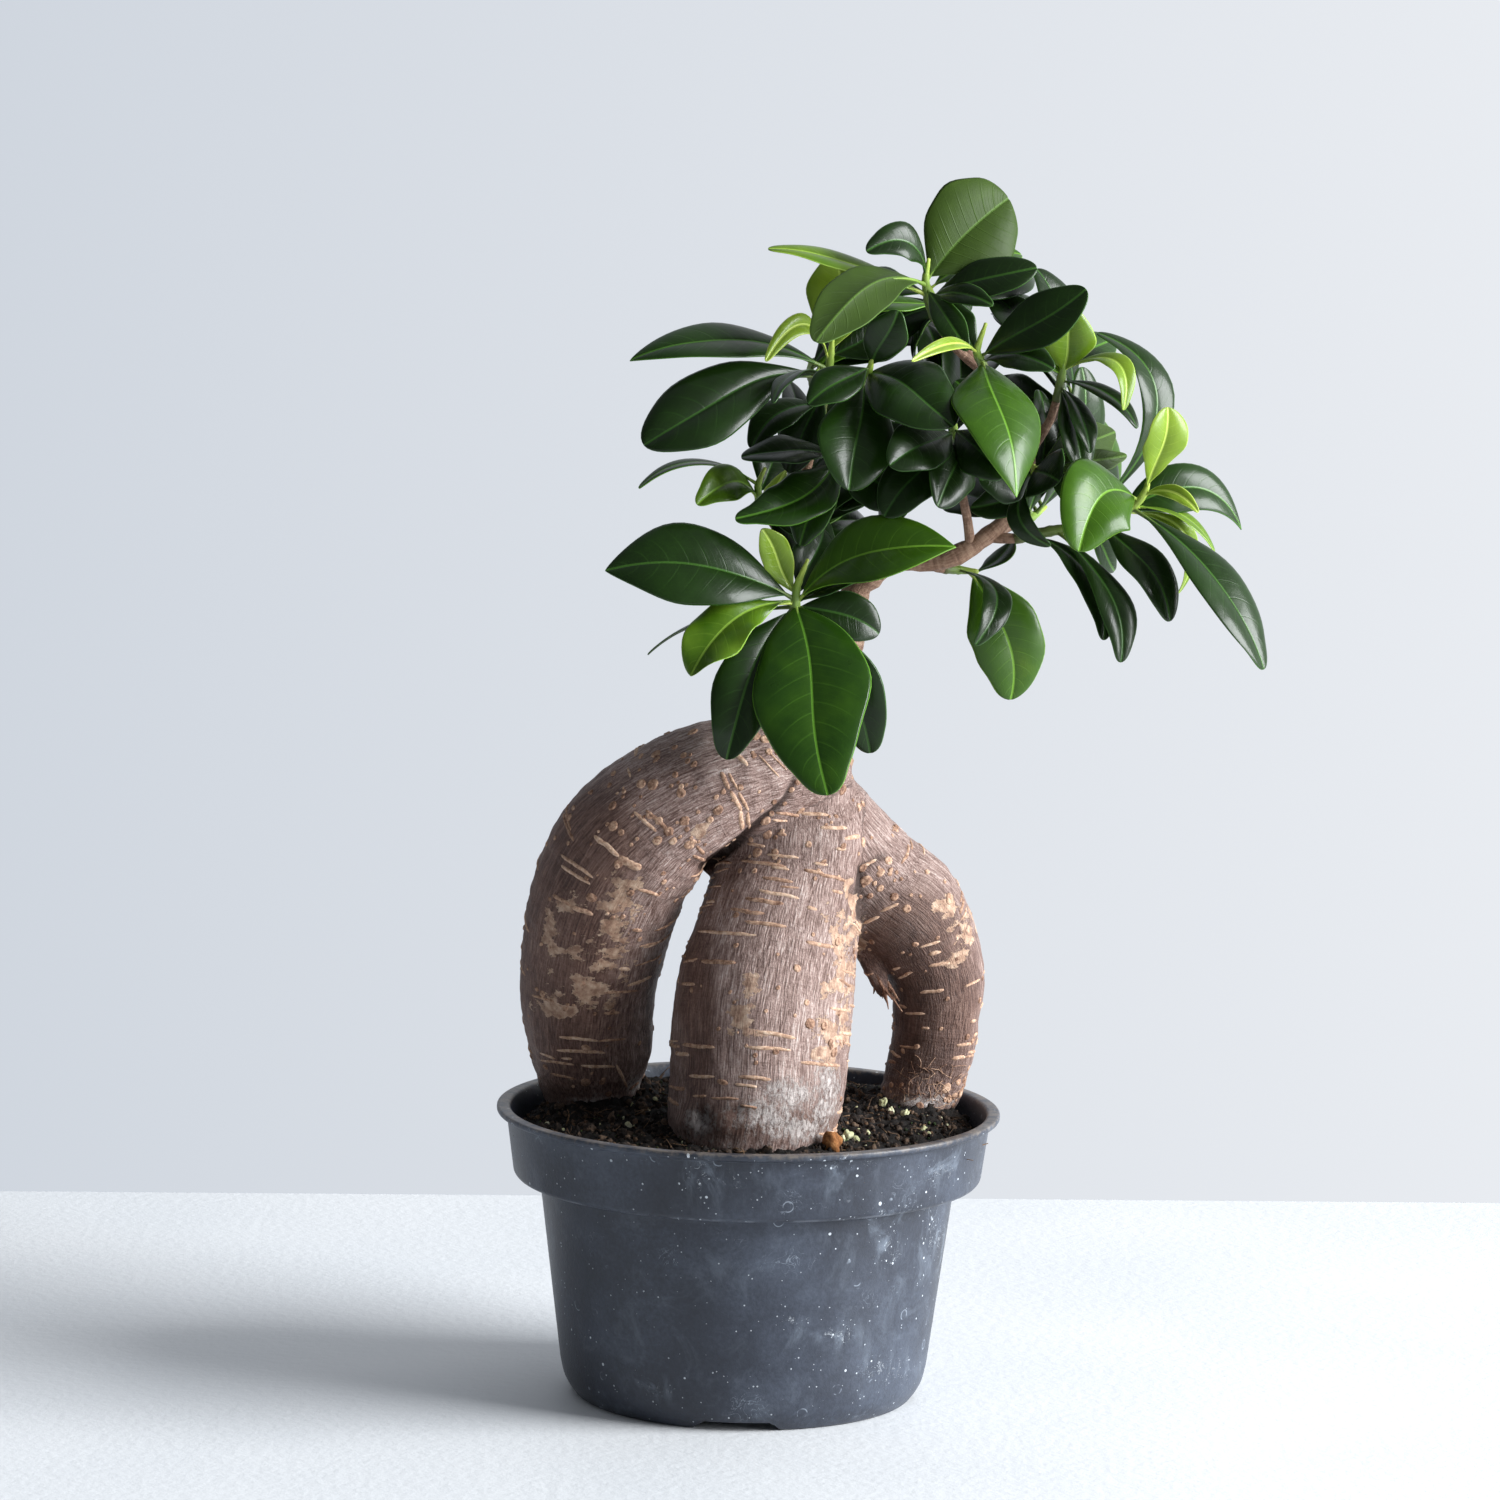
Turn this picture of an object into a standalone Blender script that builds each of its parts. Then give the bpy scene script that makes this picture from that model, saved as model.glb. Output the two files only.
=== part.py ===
"""A grafted ginseng ficus in its round nursery pot, at real size.

Units are metres, +Z is up and the table is z = 0. Everything is placed round the pot's
axis and hangs on one empty, which puts the origin under the middle of the whole plant.
"""

import math
import random
from typing import NamedTuple

import bmesh
import bpy
from mathutils import Matrix, Vector, noise
from mathutils.bvhtree import BVHTree

MM = 0.001
MERGE = 0.00001
GAP = 0.3
POT_AXIS = Vector((-38.1, 0.0, 0.0))

# The plant's places were read from the front, at this distance and height. A place is
# given as it shows on the upright plane through the pot's axis, then its depth behind it.
VIEW_DISTANCE = 1800.0
VIEW_HEIGHT = 435.0

POT_STEPS = 36
POT_HEIGHT = 89.0
LIP_RADIUS = 77.0
POT_OUTSIDE = (
    (LIP_RADIUS, POT_HEIGHT), (LIP_RADIUS, 87.2), (74.0, 86.5), (71.6, 68.8), (70.6, 67.6),
    (64.2, 67.0), (63.4, 65.4), (56.3, 10.0), (55.0, 6.4), (53.0, 3.4), (52.6, 0.0),
)
FOOT_INNER_RADIUS = 46.5
FLOOR_UNDERSIDE = 3.2
FLOOR_TOP = 5.0
POT_INSIDE = (
    (51.6, FLOOR_TOP), (54.8, 10.0), (61.9, 66.4), (62.8, 68.4), (69.6, 69.2), (72.2, 85.8),
    (73.0, POT_HEIGHT),
)
NOTCH_BASE_WIDTH = 29.0
NOTCH_TOP_WIDTH = 21.0
NOTCH_HEIGHT = 2.9
NOTCH_SHIFT = -1.5
DRAIN_HOLES = 6
DRAIN_HOLE_RADIUS = 4.0
DRAIN_HOLE_SIDES = 10
DRAIN_CIRCLE = 34.0
SHARP_ANGLE = math.radians(35)

SOIL_TOP = ((0.0, 85.6), (22.0, 85.6), (40.0, 85.4), (55.0, 84.8), (65.0, 82.6), (71.1, 80.5))
SOIL_SIDE = ((69.2, 69.7), (62.4, 68.9), (61.5, 66.5), (54.4, 10.0), (51.3, 5.4))
SOIL_EDGE = 1.0
SOIL_TILT = 0.06
SOIL_TILT_LIMIT = 3.0
SOIL_LUMP = 1.3
SOIL_LUMP_SIZE = 9.0
HOLE_CLEARANCE = 1.3
HOLE_FROM = 108.0
HOLE_SPARE_DEPTH = 1.5
HOLE_SIDES = 14
SOIL_STEPS = 32

# Legs: across, up, depth and thickness, from inside the crown to the end in the soil
LEFT_LEG = (
    (25, 196, 0, 17), (14, 195, -4, 29), (0, 192, -9, 35), (-20, 184.5, -11, 40.5),
    (-35.5, 171.5, -6, 45), (-44, 156, 1, 46), (-48, 139, 9, 44), (-49.8, 121, 16, 41),
    (-48.8, 106, 22, 37.5), (-47.5, 92.5, 25, 31), (-44.5, 80, 24, 26), (-40, 68, 23, 20),
    (-37, 58, 22, 18),
)
MIDDLE_LEG = (
    (16, 202, 4, 14), (15, 195, 6, 27), (14, 186, 7, 39), (13, 174, 6, 45.5), (11.5, 160, 4, 47),
    (8, 144, -2, 50), (5, 127, -7, 54), (3, 110, -11, 54.5), (2.6, 97, -13.5, 53.5),
    (1.5, 86, -15, 52), (0, 76, -14, 48), (-0.5, 58, -13, 40),
)
RIGHT_LEG = (
    (19, 180, 6, 31), (35.8, 159.6, 14, 36), (45.6, 151.8, 17, 37), (51, 144.4, 20, 33.5),
    (54.8, 136.8, 22, 30.5), (57, 127, 24, 28.5), (56.5, 119, 25, 27), (55.8, 110, 26, 26.5),
    (54.3, 102, 26, 25.5), (52.3, 93.5, 25, 24), (48.5, 80, 23.5, 21), (41.5, 68, 22, 18),
    (38.5, 58, 21, 16),
)
DEAD_ROOT = ((31, 146, 13, 9), (36, 135, 12, 9), (40, 126, 11, 7.5), (42, 121, 11, 4.5))
CROWN_CENTRE = (14.5, 188, 3)
CROWN_RADII = (15.5, 16.0, 17.5)
LEG_SIDES = 28
LEG_BENDS = 5
ROOT_SIDES = 12
STEM_SIDES = 8
TWIG_SIDES = 6
VOXEL = 1.4
SMOOTHING = 4
CAUDEX_TRIANGLES = 1800
SWELL = 0.8
SWELL_SIZE = 24.0

# Bark-covered wood above the crown: across, up, depth and thickness
STEM = (
    (22, 192, 2, 15), (23.5, 203, 2, 11), (25.5, 216, 2, 9), (27.3, 231, 2, 8.6),
    (28.2, 244, 1, 8), (31, 251, 0, 8.4), (36.5, 256, -1, 8.6), (41.5, 257.4, -2, 5.8),
    (52, 257.4, -3, 5.6), (61, 260.6, -3, 6.0), (68.5, 265.8, -2, 5.2), (74.5, 271.5, 0, 4.6),
    (79.5, 281, 5, 4.2), (80, 294, 8, 3.8), (74, 308, 10, 3.4), (63, 319, 10, 3.2),
)

# Leaves: the outline's fullness, and where along the midrib the slab has its rings
LEAF_THICKNESS = 0.7
PETIOLE_THICKNESS = 1.3
PETIOLE_SHARE = 0.12
ROUND_PETIOLE_SHARE = 0.06
LARGE_STATIONS = (0.0, 0.13, 0.38, 0.66, 0.88, 1.0)
ROUND_STATIONS = (0.0, 0.07, 0.2, 0.46, 0.78, 1.0)
SMALL_STATIONS = (0.0, 0.14, 0.45, 0.76, 1.0)
SMALL_LEAF = 38.0
BACK_DEPTH = 30.0
OUTLINE_END = 0.985
BASE_FULLNESS = 0.85
RIPPLES = 15.0
RIPPLE_OFFSET = 1.3
LEAFY_PART = (0.1, 0.95)
TWIG_YOUTH = 0.5
CLEARANCE = 0.55
DEPTH_LIMIT = 68.0
FREE_SHARE = 0.25
DEPTH_SHIFTS = (0, -4, 4, -8, 8, -12, 12, -17, 17, -22, 22, -28, 28)
TURN_SHIFTS = (0, 14, -14, 28, -28)


class Leaf(NamedTuple):
    """One leaf as it shows from the front: its root, its tip and how its blade lies.

    turn tips its upper face to the sky, bow bends it in the plane of view, arch bends it
    over, lean moves the bend to the tip, fold closes its halves, broad below one puts the
    widest place near the root, and a small blunt rounds the tip. youth runs from dark to
    yellow green.
    """

    root: tuple
    tip: tuple
    width: float
    turn: float = 20.0
    bow: float = 0.0
    arch: float = 0.08
    youth: float = 0.15
    fold: float = 12.0
    wave: float = 0.0
    face: int = 1
    broad: float = 1.2
    lean: float = 0.0
    blunt: float = 0.7


class Shoot(NamedTuple):
    """A green twig with its leaves, and the bark-covered branch that carries it."""

    name: str
    branch: tuple
    twig: tuple
    leaves: tuple
    grown: int = 0


LOW_LEFT = Shoot(
    "shoot_low_left",
    ((25.5, 221, -1, 4.4), (18, 230, -9, 3.4), (12, 235, -12, 3.0), (10.6, 238.5, -15, 2.6)),
    ((11.0, 243.5, -20.5, 2.4), (11.5, 249.5, -21, 2.0), (14.5, 257.5, -20, 0.8)),
    (
        Leaf((11.1, 244), (22, 186.5, -50), 35, turn=4, arch=0.06, youth=0.38, fold=8, broad=0.85,
             blunt=0.7),
        Leaf((11, 244), (-20, 222, -42), 18, turn=12, bow=0.13, youth=0.68, fold=22, wave=1.8,
             broad=1.5, blunt=0.6),
        Leaf((11.2, 244), (58.5, 262.5, -34), 24, turn=36, bow=0.08, youth=0.5, fold=35, blunt=1.0),
        Leaf((11, 245), (-46, 253, -34), 27, turn=18, bow=0.065, arch=0.1, youth=0.12, blunt=0.85),
        Leaf((11, 243.5), (-8.5, 196.5, -38), 19, turn=-16, bow=0.1, youth=0.12, wave=1.0,
             blunt=0.62),
        Leaf((11, 243), (36.5, 235.5, -20), 15, turn=14, bow=0.06, youth=0.08, blunt=0.58),
        Leaf((11.2, 243.5), (34.5, 199, -18), 19, turn=-20, bow=0.11, youth=0.1),
        Leaf((11.3, 246), (0.8, 265.8, -27), 10.5, turn=0, arch=-0.1, youth=0.9, fold=34,
             blunt=0.55),
        Leaf((11.2, 246), (19, 267, -8), 14, turn=-10, youth=0.06),
        Leaf((11.2, 244), (34, 254, -24), 12, turn=60, bow=-0.02, youth=0.08),
        Leaf((11, 243), (-33.5, 228.5, -2), 7, turn=74, youth=0.1),
    ),
)
MIDDLE_LEFT = Shoot(
    "shoot_middle_left",
    ((27.6, 236, 3, 4.2), (19, 250, 9, 3.4), (9, 262, 8, 3.0), (2, 270, 4, 2.6)),
    ((-0.5, 275, 1.5, 2.2), (-1, 280, -1, 1.6), (1, 285, -2, 0.8)),
    (
        Leaf((-0.5, 275), (-19, 274, -20), 13, turn=36, bow=0.16, youth=0.62, fold=26, blunt=0.75),
        Leaf((-1, 280), (-37, 279, -16), 8, turn=72, bow=0.1, youth=0.4, fold=4),
        Leaf((0, 273), (7, 284, -9), 5, turn=0, youth=0.95, fold=30),
        Leaf((-0.5, 277), (4, 292, 14), 14, turn=20, youth=0.15),
        Leaf((0, 273), (22, 262, -8), 15, turn=40, youth=0.1),
        Leaf((0, 272), (19, 252, 4), 14, turn=24, youth=0.08),
    ),
)
INNER_LEFT = Shoot(
    "shoot_inner_left",
    ((13, 280, 9, 2.8), (18, 284, 1, 2.4), (21, 286, -6, 2.2)),
    ((23, 288.5, -11, 2.0), (24, 292, -15, 1.0)),
    (
        Leaf((22.5, 286), (-7, 270, -30), 17, turn=26, bow=-0.15, youth=0.3, fold=16, broad=0.8,
             blunt=0.75),
        Leaf((23, 288.5), (-6, 288.5, -18), 15, turn=48, youth=0.08),
        Leaf((23.5, 289), (44, 274, -24), 17, turn=10, youth=0.06),
        Leaf((22, 287), (12, 262, -14), 14, turn=16, youth=0.2),
    ),
)
UPPER_LEFT = Shoot(
    "shoot_upper_left",
    ((9, 262, 8, 3.0), (12, 279, 10, 2.8), (16.5, 296, 9, 2.6), (17.3, 300, 8, 2.5)),
    ((19, 310, 5, 2.3), (19.5, 314, 3.5, 2.2), (20, 320, 2, 1.8), (20.5, 325, 1, 0.8)),
    (
        Leaf((19.5, 315), (-40, 318.5, -22), 17, turn=58, bow=0.03, youth=0.2, fold=0, blunt=0.85),
        Leaf((19.5, 313), (-35, 292, -32), 24, turn=18, bow=0.045, arch=0.1, youth=0.08,
             broad=1.7, blunt=0.55),
        Leaf((19.5, 317), (1, 318, -22), 7, turn=20, bow=0.32, youth=0.95, fold=20),
        Leaf((20, 320), (21.4, 350, 8), 20, turn=-4, bow=0.05, youth=0.85, fold=8, blunt=0.6),
        Leaf((18, 304), (-3, 291, -10), 12, turn=30, bow=0.12, youth=0.05),
        Leaf((19.5, 312.5), (3, 305.5, -30), 7, turn=72, bow=0.05, youth=0.05),
    ),
)
FRONT_LEFT = Shoot(
    "shoot_front_left",
    ((16.5, 296, 9, 2.6), (24, 305, 1, 2.4), (29.5, 311, -8, 2.2)),
    ((31.5, 314.5, -13, 2.0), (32.5, 318.5, -16, 1.0)),
    (
        Leaf((31.5, 314.5), (57, 299, -34), 26, turn=10, bow=0.05, youth=0.1, fold=10,
             broad=0.85, blunt=0.5),
        Leaf((30.5, 312), (26.5, 279.5, -34), 24, turn=6, youth=0.12, fold=10, blunt=0.52),
        Leaf((32, 316), (14, 305, -30), 13, turn=20, youth=0.1),
        Leaf((32, 316), (40, 333, -22), 13, turn=0, youth=0.12),
    ),
)
TOP = Shoot(
    "shoot_top",
    ((68, 314, 11, 3.0), (58, 322, 8, 2.8), (51, 331, 5, 2.4)),
    ((48.8, 337, 3.5, 2.2), (48, 343, 2, 1.8), (48.8, 349, 1, 0.8)),
    (
        Leaf((48, 342), (72, 367.5, 16), 30, turn=0, bow=0.04, youth=0.3, fold=8, broad=1.15,
             blunt=0.45),
        Leaf((48.2, 341), (15.5, 323, -34), 18, turn=20, bow=0.1, youth=0.3, face=-1, blunt=0.55),
        Leaf((48.3, 338), (1.5, 352, -14), 12, turn=56, arch=0.04, youth=0.75, fold=4),
        Leaf((48, 343), (30.5, 351, -14), 12, turn=30, bow=0.25, youth=0.1),
        Leaf((49, 337), (81, 347, 2), 13, turn=24, youth=0.1, blunt=0.55),
        Leaf((48.4, 340), (61, 322, -14), 9, turn=0, youth=0.15),
        Leaf((49, 337), (68, 336, -14), 8, turn=30, bow=0.05, youth=0.12),
    ),
)
FRONT = Shoot(
    "shoot_front",
    ((73, 309, 10, 3.2), (69, 314, 2, 2.6), (66, 317, -4, 2.4)),
    ((64.8, 319.5, -9, 2.2), (64, 322, -12, 1.8), (66.5, 330, -13, 0.8)),
    (
        Leaf((65.2, 318.6), (77, 278.5, -46), 28, turn=10, arch=0.16, youth=0.45, fold=9,
             broad=1.0, blunt=0.95),
        Leaf((64.5, 321), (45, 318.5, -26), 4.5, turn=20, bow=0.06, youth=0.95, fold=24),
        Leaf((65, 320), (96, 340.5, -20), 17, turn=22, bow=-0.05, youth=0.1, blunt=0.55),
        Leaf((65.5, 318), (87, 317, -22), 12, turn=34, bow=0.08, youth=0.08),
        Leaf((64.6, 320), (52, 336, -22), 12, turn=10, youth=0.1),
    ),
)
CENTRE = Shoot(
    "shoot_centre",
    ((63.5, 262, -3, 3.4), (62.5, 270, -5, 2.8), (60, 281, -8, 2.6), (58.3, 292, -11, 2.4)),
    ((57.7, 297, -13, 2.2), (57.5, 302, -15, 1.0)),
    (
        Leaf((58.3, 295.5), (53.5, 275, -36), 17, turn=8, bow=0.05, youth=0.1, fold=10,
             broad=1.0, blunt=0.5),
        Leaf((57.8, 296), (37.5, 271.5, -28), 17, turn=14, youth=0.06, blunt=0.55),
        Leaf((57.7, 297), (39, 287, -30), 17, turn=18, youth=0.06, blunt=0.55),
        Leaf((57.7, 298), (73, 284, -30), 16, turn=10, youth=0.06, blunt=0.6),
    ),
)
INNER_RIGHT = Shoot(
    "shoot_inner_right",
    ((80, 284, 6, 3.0), (81.5, 283.5, -1, 2.4), (82, 283.5, -6, 2.2)),
    ((82, 284, -11, 2.0), (82, 287.5, -15, 1.0)),
    (
        Leaf((81.5, 284.2), (87.3, 263.2, -20), 8, turn=-20, bow=-0.28, youth=0.1),
        Leaf((81.8, 284.2), (63.5, 274.2, -12), 11, turn=20, bow=-0.15, youth=0.1, broad=1.0),
        Leaf((82, 284.6), (66, 283, -24), 18, turn=16, youth=0.06),
        Leaf((82, 286), (89.5, 283, -26), 18, turn=8, youth=0.1),
        Leaf((82, 286), (106, 298, 24), 13, turn=10, youth=0.35, face=-1),
        Leaf((82, 284.4), (109, 290.5, 14), 8, turn=20, youth=0.35, face=-1),
    ),
)
UPPER_RIGHT = Shoot(
    "shoot_upper_right",
    ((80, 290, 7, 3.0), (86, 300, 6, 2.6), (88.3, 307, 4, 2.4)),
    ((89.6, 314, 2, 2.2), (90.6, 319, 0, 1.8), (96, 325, -2, 0.8)),
    (
        Leaf((90, 315.5), (92, 334.5, -4), 17, turn=10, youth=0.8, fold=16),
        Leaf((90.2, 316.5), (108.8, 305.3, -14), 8, turn=34, bow=0.36, youth=0.82, fold=20,
             lean=0.1),
        Leaf((89.5, 313), (113, 300, -16), 9, turn=50, bow=0.06, youth=0.08),
        Leaf((89.2, 311.5), (99, 292, -12), 9, turn=44, bow=0.02, youth=0.06),
        Leaf((90.2, 317), (105, 326, 20), 11, turn=20, youth=0.3),
        Leaf((89.8, 315), (84, 325.5, -12), 9, turn=50, bow=-0.12, youth=0.6),
        Leaf((89, 311), (97, 285, 6), 13, turn=30, youth=0.1),
    ),
)
RIGHT = Shoot(
    "shoot_right",
    ((69, 265.5, -1, 3.6), (73, 265.2, -2, 3.2), (77, 265.2, -3, 3.0)),
    ((87.5, 267.6, -5, 2.6), (94, 268.8, -6, 2.5), (103, 271, -8, 2.4), (111, 274.5, -10, 2.2),
     (115.5, 279.5, -12, 1.8), (117, 285, -13, 0.8)),
    (
        Leaf((112, 275), (154, 228, -30), 21, turn=26, bow=0.045, youth=0.12, fold=16, broad=1.4,
             blunt=0.8),
        Leaf((115.8, 280), (121.8, 305.5, -20), 15.2, turn=-4, bow=0.05, youth=0.95, fold=18,
             broad=1.7, blunt=0.55),
        Leaf((114, 277.5), (96.5, 262.5, -36), 26, turn=8, bow=0.22, arch=0.14, youth=0.52,
             fold=9, broad=1.0, blunt=0.6),
        Leaf((109, 273.5), (145.5, 270, 6), 16, turn=20, bow=0.22, youth=0.2, broad=0.85,
             blunt=0.9),
        Leaf((96, 269.2), (101.5, 328.5, 4), 14, turn=48, bow=0.26, lean=0.25, youth=0.15,
             broad=1.5),
        Leaf((114.5, 278.5), (132, 274.5, -20), 5, turn=20, bow=0.17, youth=0.98, fold=24),
        Leaf((112, 275), (137.5, 262.5, -14), 9, turn=70, bow=0.09, youth=0.7),
        Leaf((82, 266.3), (105, 235.5, -22), 12, turn=60, bow=0.1, youth=0.08, fold=10),
        Leaf((89, 267.8), (110.5, 229, -28), 12, turn=26, bow=0.08, youth=0.08, fold=18,
             broad=1.7, blunt=0.75),
        Leaf((101, 270.6), (124.5, 241.5, -22), 14, turn=12, bow=0.09, youth=0.1, fold=16,
             blunt=0.6),
        Leaf((110, 274), (127.8, 249.3, 8), 7, turn=30, bow=0.25, youth=0.85),
        Leaf((98, 269.8), (107.5, 255.8, 8), 7, turn=10, youth=0.3),
        Leaf((96, 269.2), (90, 289, 6), 11, turn=20, youth=0.08),
    ),
)
HANGING = Shoot(
    "shoot_hanging",
    ((51, 258, -2, 3.2), (53, 256, 0, 2.8), (55.5, 255.4, 2, 2.4)),
    ((60, 255.3, 5, 2.2), (66, 254.8, 6, 1.2)),
    (
        Leaf((63, 255), (77, 216.5, 8), 23, turn=8, bow=0.1, youth=0.55, fold=8, broad=1.0,
             blunt=0.5),
        Leaf((59.5, 255.3), (66.5, 233, -18), 10, turn=34, bow=0.26, youth=0.08),
        Leaf((65, 255), (76, 264.3, 14), 10, turn=60, bow=-0.17, youth=0.2),
        Leaf((59, 255.3), (36.5, 256, 12), 11, turn=50, youth=0.35),
    ),
)
# Shoots on the far side of the head, with their leaves set round the twig by rule
BACK_SHOOTS = (
    Shoot("shoot_back_low_left", ((27.8, 238, 3, 4.0), (21, 250, 16, 3.0), (14, 258, 26, 2.6)),
          ((9, 264, 34, 2.2), (7, 270, 40, 1.0)), (), 7),
    Shoot("shoot_back_left", ((16.5, 296, 9, 2.6), (16, 304, 20, 2.4), (15, 310, 27, 2.2)),
          ((14, 314, 35, 2.0), (14, 318, 41, 1.0)), (), 7),
    Shoot("shoot_back_top", ((63, 318, 10, 3.0), (58, 326, 20, 2.6), (54, 331, 27, 2.4)),
          ((51, 336, 34, 2.2), (49, 341, 40, 1.0)), (), 8),
    Shoot("shoot_back_right", ((80, 292, 8, 3.2), (86, 300, 18, 2.6), (89, 304, 26, 2.4)),
          ((92, 307, 34, 2.2), (94, 310, 41, 1.0)), (), 8),
    Shoot("shoot_back_middle", ((79.5, 281, 5, 3.4), (68, 288, 18, 2.8), (58, 292, 28, 2.4)),
          ((52, 296, 37, 2.2), (48, 300, 44, 1.0)), (), 8),
    Shoot("shoot_back_low_right", ((68.5, 265.8, -2, 3.4), (74, 268, 10, 2.8), (78, 270, 20, 2.4)),
          ((82, 272, 29, 2.2), (86, 275, 36, 1.0)), (), 7),
)
SHOOTS = (
    LOW_LEFT, MIDDLE_LEFT, INNER_LEFT, UPPER_LEFT, FRONT_LEFT, TOP, FRONT, CENTRE, INNER_RIGHT,
    UPPER_RIGHT, RIGHT, HANGING,
) + BACK_SHOOTS
GROWTH_SEED = 11
GOLDEN_ANGLE = math.radians(137.5)
GROWN_LENGTHS = (34.0, 50.0)
GROWN_LEANS = (38.0, 80.0)
GROWN_WIDTHS = (0.4, 0.5)
GROWN_TURNS = (25.0, 60.0)
GROWN_ARCHES = (0.04, 0.14)
GROWN_YOUTHS = (0.08, 0.12, 0.2, 0.5)
FORWARD_LIMIT = -0.1
TRIES_A_LEAF = 6
# Where the head is dense from the front, as rounds of across, up and radius
DENSE_ROUNDS = (
    (52, 313, 36), (64, 334, 22), (22, 300, 24), (84, 308, 18), (60, 350, 14), (6, 268, 20),
    (30, 330, 16), (100, 278, 16), (28, 270, 16),
)

# The greens of dark, middle and young leaves, each up to a youth
GREENS = (
    ("leaf_dark", 0.25, (0.02, 0.075, 0.022)),
    ("leaf_green", 0.6, (0.05, 0.16, 0.03)),
    ("leaf_young", 1.0, (0.19, 0.33, 0.05)),
)


def place(across, up, depth):
    """The point at a depth that shows at this place from the front."""
    spread = 1 + depth / VIEW_DISTANCE
    return Vector((across * spread, depth, VIEW_HEIGHT + (up - VIEW_HEIGHT) * spread))


def shown(point):
    """Where a point shows from the front: across and up."""
    spread = 1 + point.y / VIEW_DISTANCE
    return point.x / spread, VIEW_HEIGHT + (point.z - VIEW_HEIGHT) / spread


def material(name, colour, roughness):
    made = bpy.data.materials.new(name)
    made.use_nodes = True
    shader = made.node_tree.nodes["Principled BSDF"]
    shader.inputs["Base Color"].default_value = (*colour, 1.0)
    shader.inputs["Roughness"].default_value = roughness
    return made


def add_object(name, mesh, collection):
    made = bpy.data.objects.new(name, mesh)
    collection.objects.link(made)
    return made


def add_cutter(name, mesh, collection):
    cutter = add_object(name, mesh, collection)
    cutter.hide_render = True
    cutter.display_type = "WIRE"
    return cutter


def applied(item, name):
    """The object's evaluated mesh as a mesh of its own, with the modifiers used up."""
    evaluated = item.evaluated_get(bpy.context.evaluated_depsgraph_get())
    mesh = bpy.data.meshes.new_from_object(evaluated)
    mesh.name = name
    return mesh


def remove_objects(items):
    for item in list(items):
        bpy.data.objects.remove(item)


def tube_mesh(name, rows, sides, swell=0.0, bends=0):
    """A tube through rows of across, up, depth and thickness, as a closed mesh in metres.

    Each run between two rows is straight, or is bent smoothly in a number of steps.
    """
    curve = bpy.data.curves.new(name, "CURVE")
    curve.dimensions = "3D"
    curve.bevel_depth = MM
    curve.bevel_resolution = (sides - 4) // 2
    curve.use_fill_caps = True
    spline = curve.splines.new("BEZIER" if bends else "POLY")
    points = spline.bezier_points if bends else spline.points
    points.add(len(rows) - 1)
    for point, (across, up, depth, thickness) in zip(points, rows):
        at = place(across, up, depth) * MM
        point.co = at if bends else (*at, 1.0)
        point.radius = thickness / 2 + swell
        if bends:
            point.handle_left_type = point.handle_right_type = "AUTO"
    spline.resolution_u = max(bends, 1)
    item = bpy.data.objects.new(name, curve)
    bpy.context.scene.collection.objects.link(item)
    mesh = applied(item, name)
    bpy.data.objects.remove(item)
    shape = bmesh.new()
    shape.from_mesh(mesh)
    bmesh.ops.remove_doubles(shape, verts=shape.verts, dist=MERGE)
    bmesh.ops.recalc_face_normals(shape, faces=shape.faces)
    shape.to_mesh(mesh)
    shape.free()
    return mesh


def turned(name, profile, steps, collection):
    """A closed solid turned from a profile that starts and ends on the axis."""
    mesh = bpy.data.meshes.new(name)
    points = [(radius * MM, 0, height * MM) for radius, height in profile]
    mesh.from_pydata(points, [(i, i + 1) for i in range(len(points) - 1)], [])
    item = add_object(name, mesh, collection)
    screw = item.modifiers.new("Turn", "SCREW")
    screw.steps = screw.render_steps = steps
    screw.use_merge_vertices = True
    screw.merge_threshold = MERGE
    return item


def cut(item, cutter):
    boolean = item.modifiers.new("Cut", "BOOLEAN")
    boolean.operation = "DIFFERENCE"
    boolean.object = cutter


def notch_mesh():
    """A long bar with sloping sides, which notches the foot ring at both ends."""
    shape = bmesh.new()
    bmesh.ops.create_cube(shape, size=1.0)
    for vert in shape.verts:
        top = vert.co.z > 0
        width = NOTCH_TOP_WIDTH if top else NOTCH_BASE_WIDTH
        vert.co.x = (math.copysign(width / 2, vert.co.x) + NOTCH_SHIFT) * MM
        vert.co.y = math.copysign(LIP_RADIUS, vert.co.y) * MM
        vert.co.z = (NOTCH_HEIGHT if top else -1.0) * MM
    mesh = bpy.data.meshes.new("foot_notch")
    shape.to_mesh(mesh)
    shape.free()
    return mesh


def drain_mesh():
    shape = bmesh.new()
    for index in range(DRAIN_HOLES):
        angle = math.tau * (index + 0.5) / DRAIN_HOLES
        spot = Vector((math.cos(angle), math.sin(angle), 0)) * DRAIN_CIRCLE * MM
        spot.z = FLOOR_TOP * MM
        bmesh.ops.create_cone(
            shape, cap_ends=True, segments=DRAIN_HOLE_SIDES, radius1=DRAIN_HOLE_RADIUS * MM,
            radius2=DRAIN_HOLE_RADIUS * MM, depth=2 * FLOOR_TOP * MM,
            matrix=Matrix.Translation(spot),
        )
    mesh = bpy.data.meshes.new("drain_holes")
    shape.to_mesh(mesh)
    shape.free()
    return mesh


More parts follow.
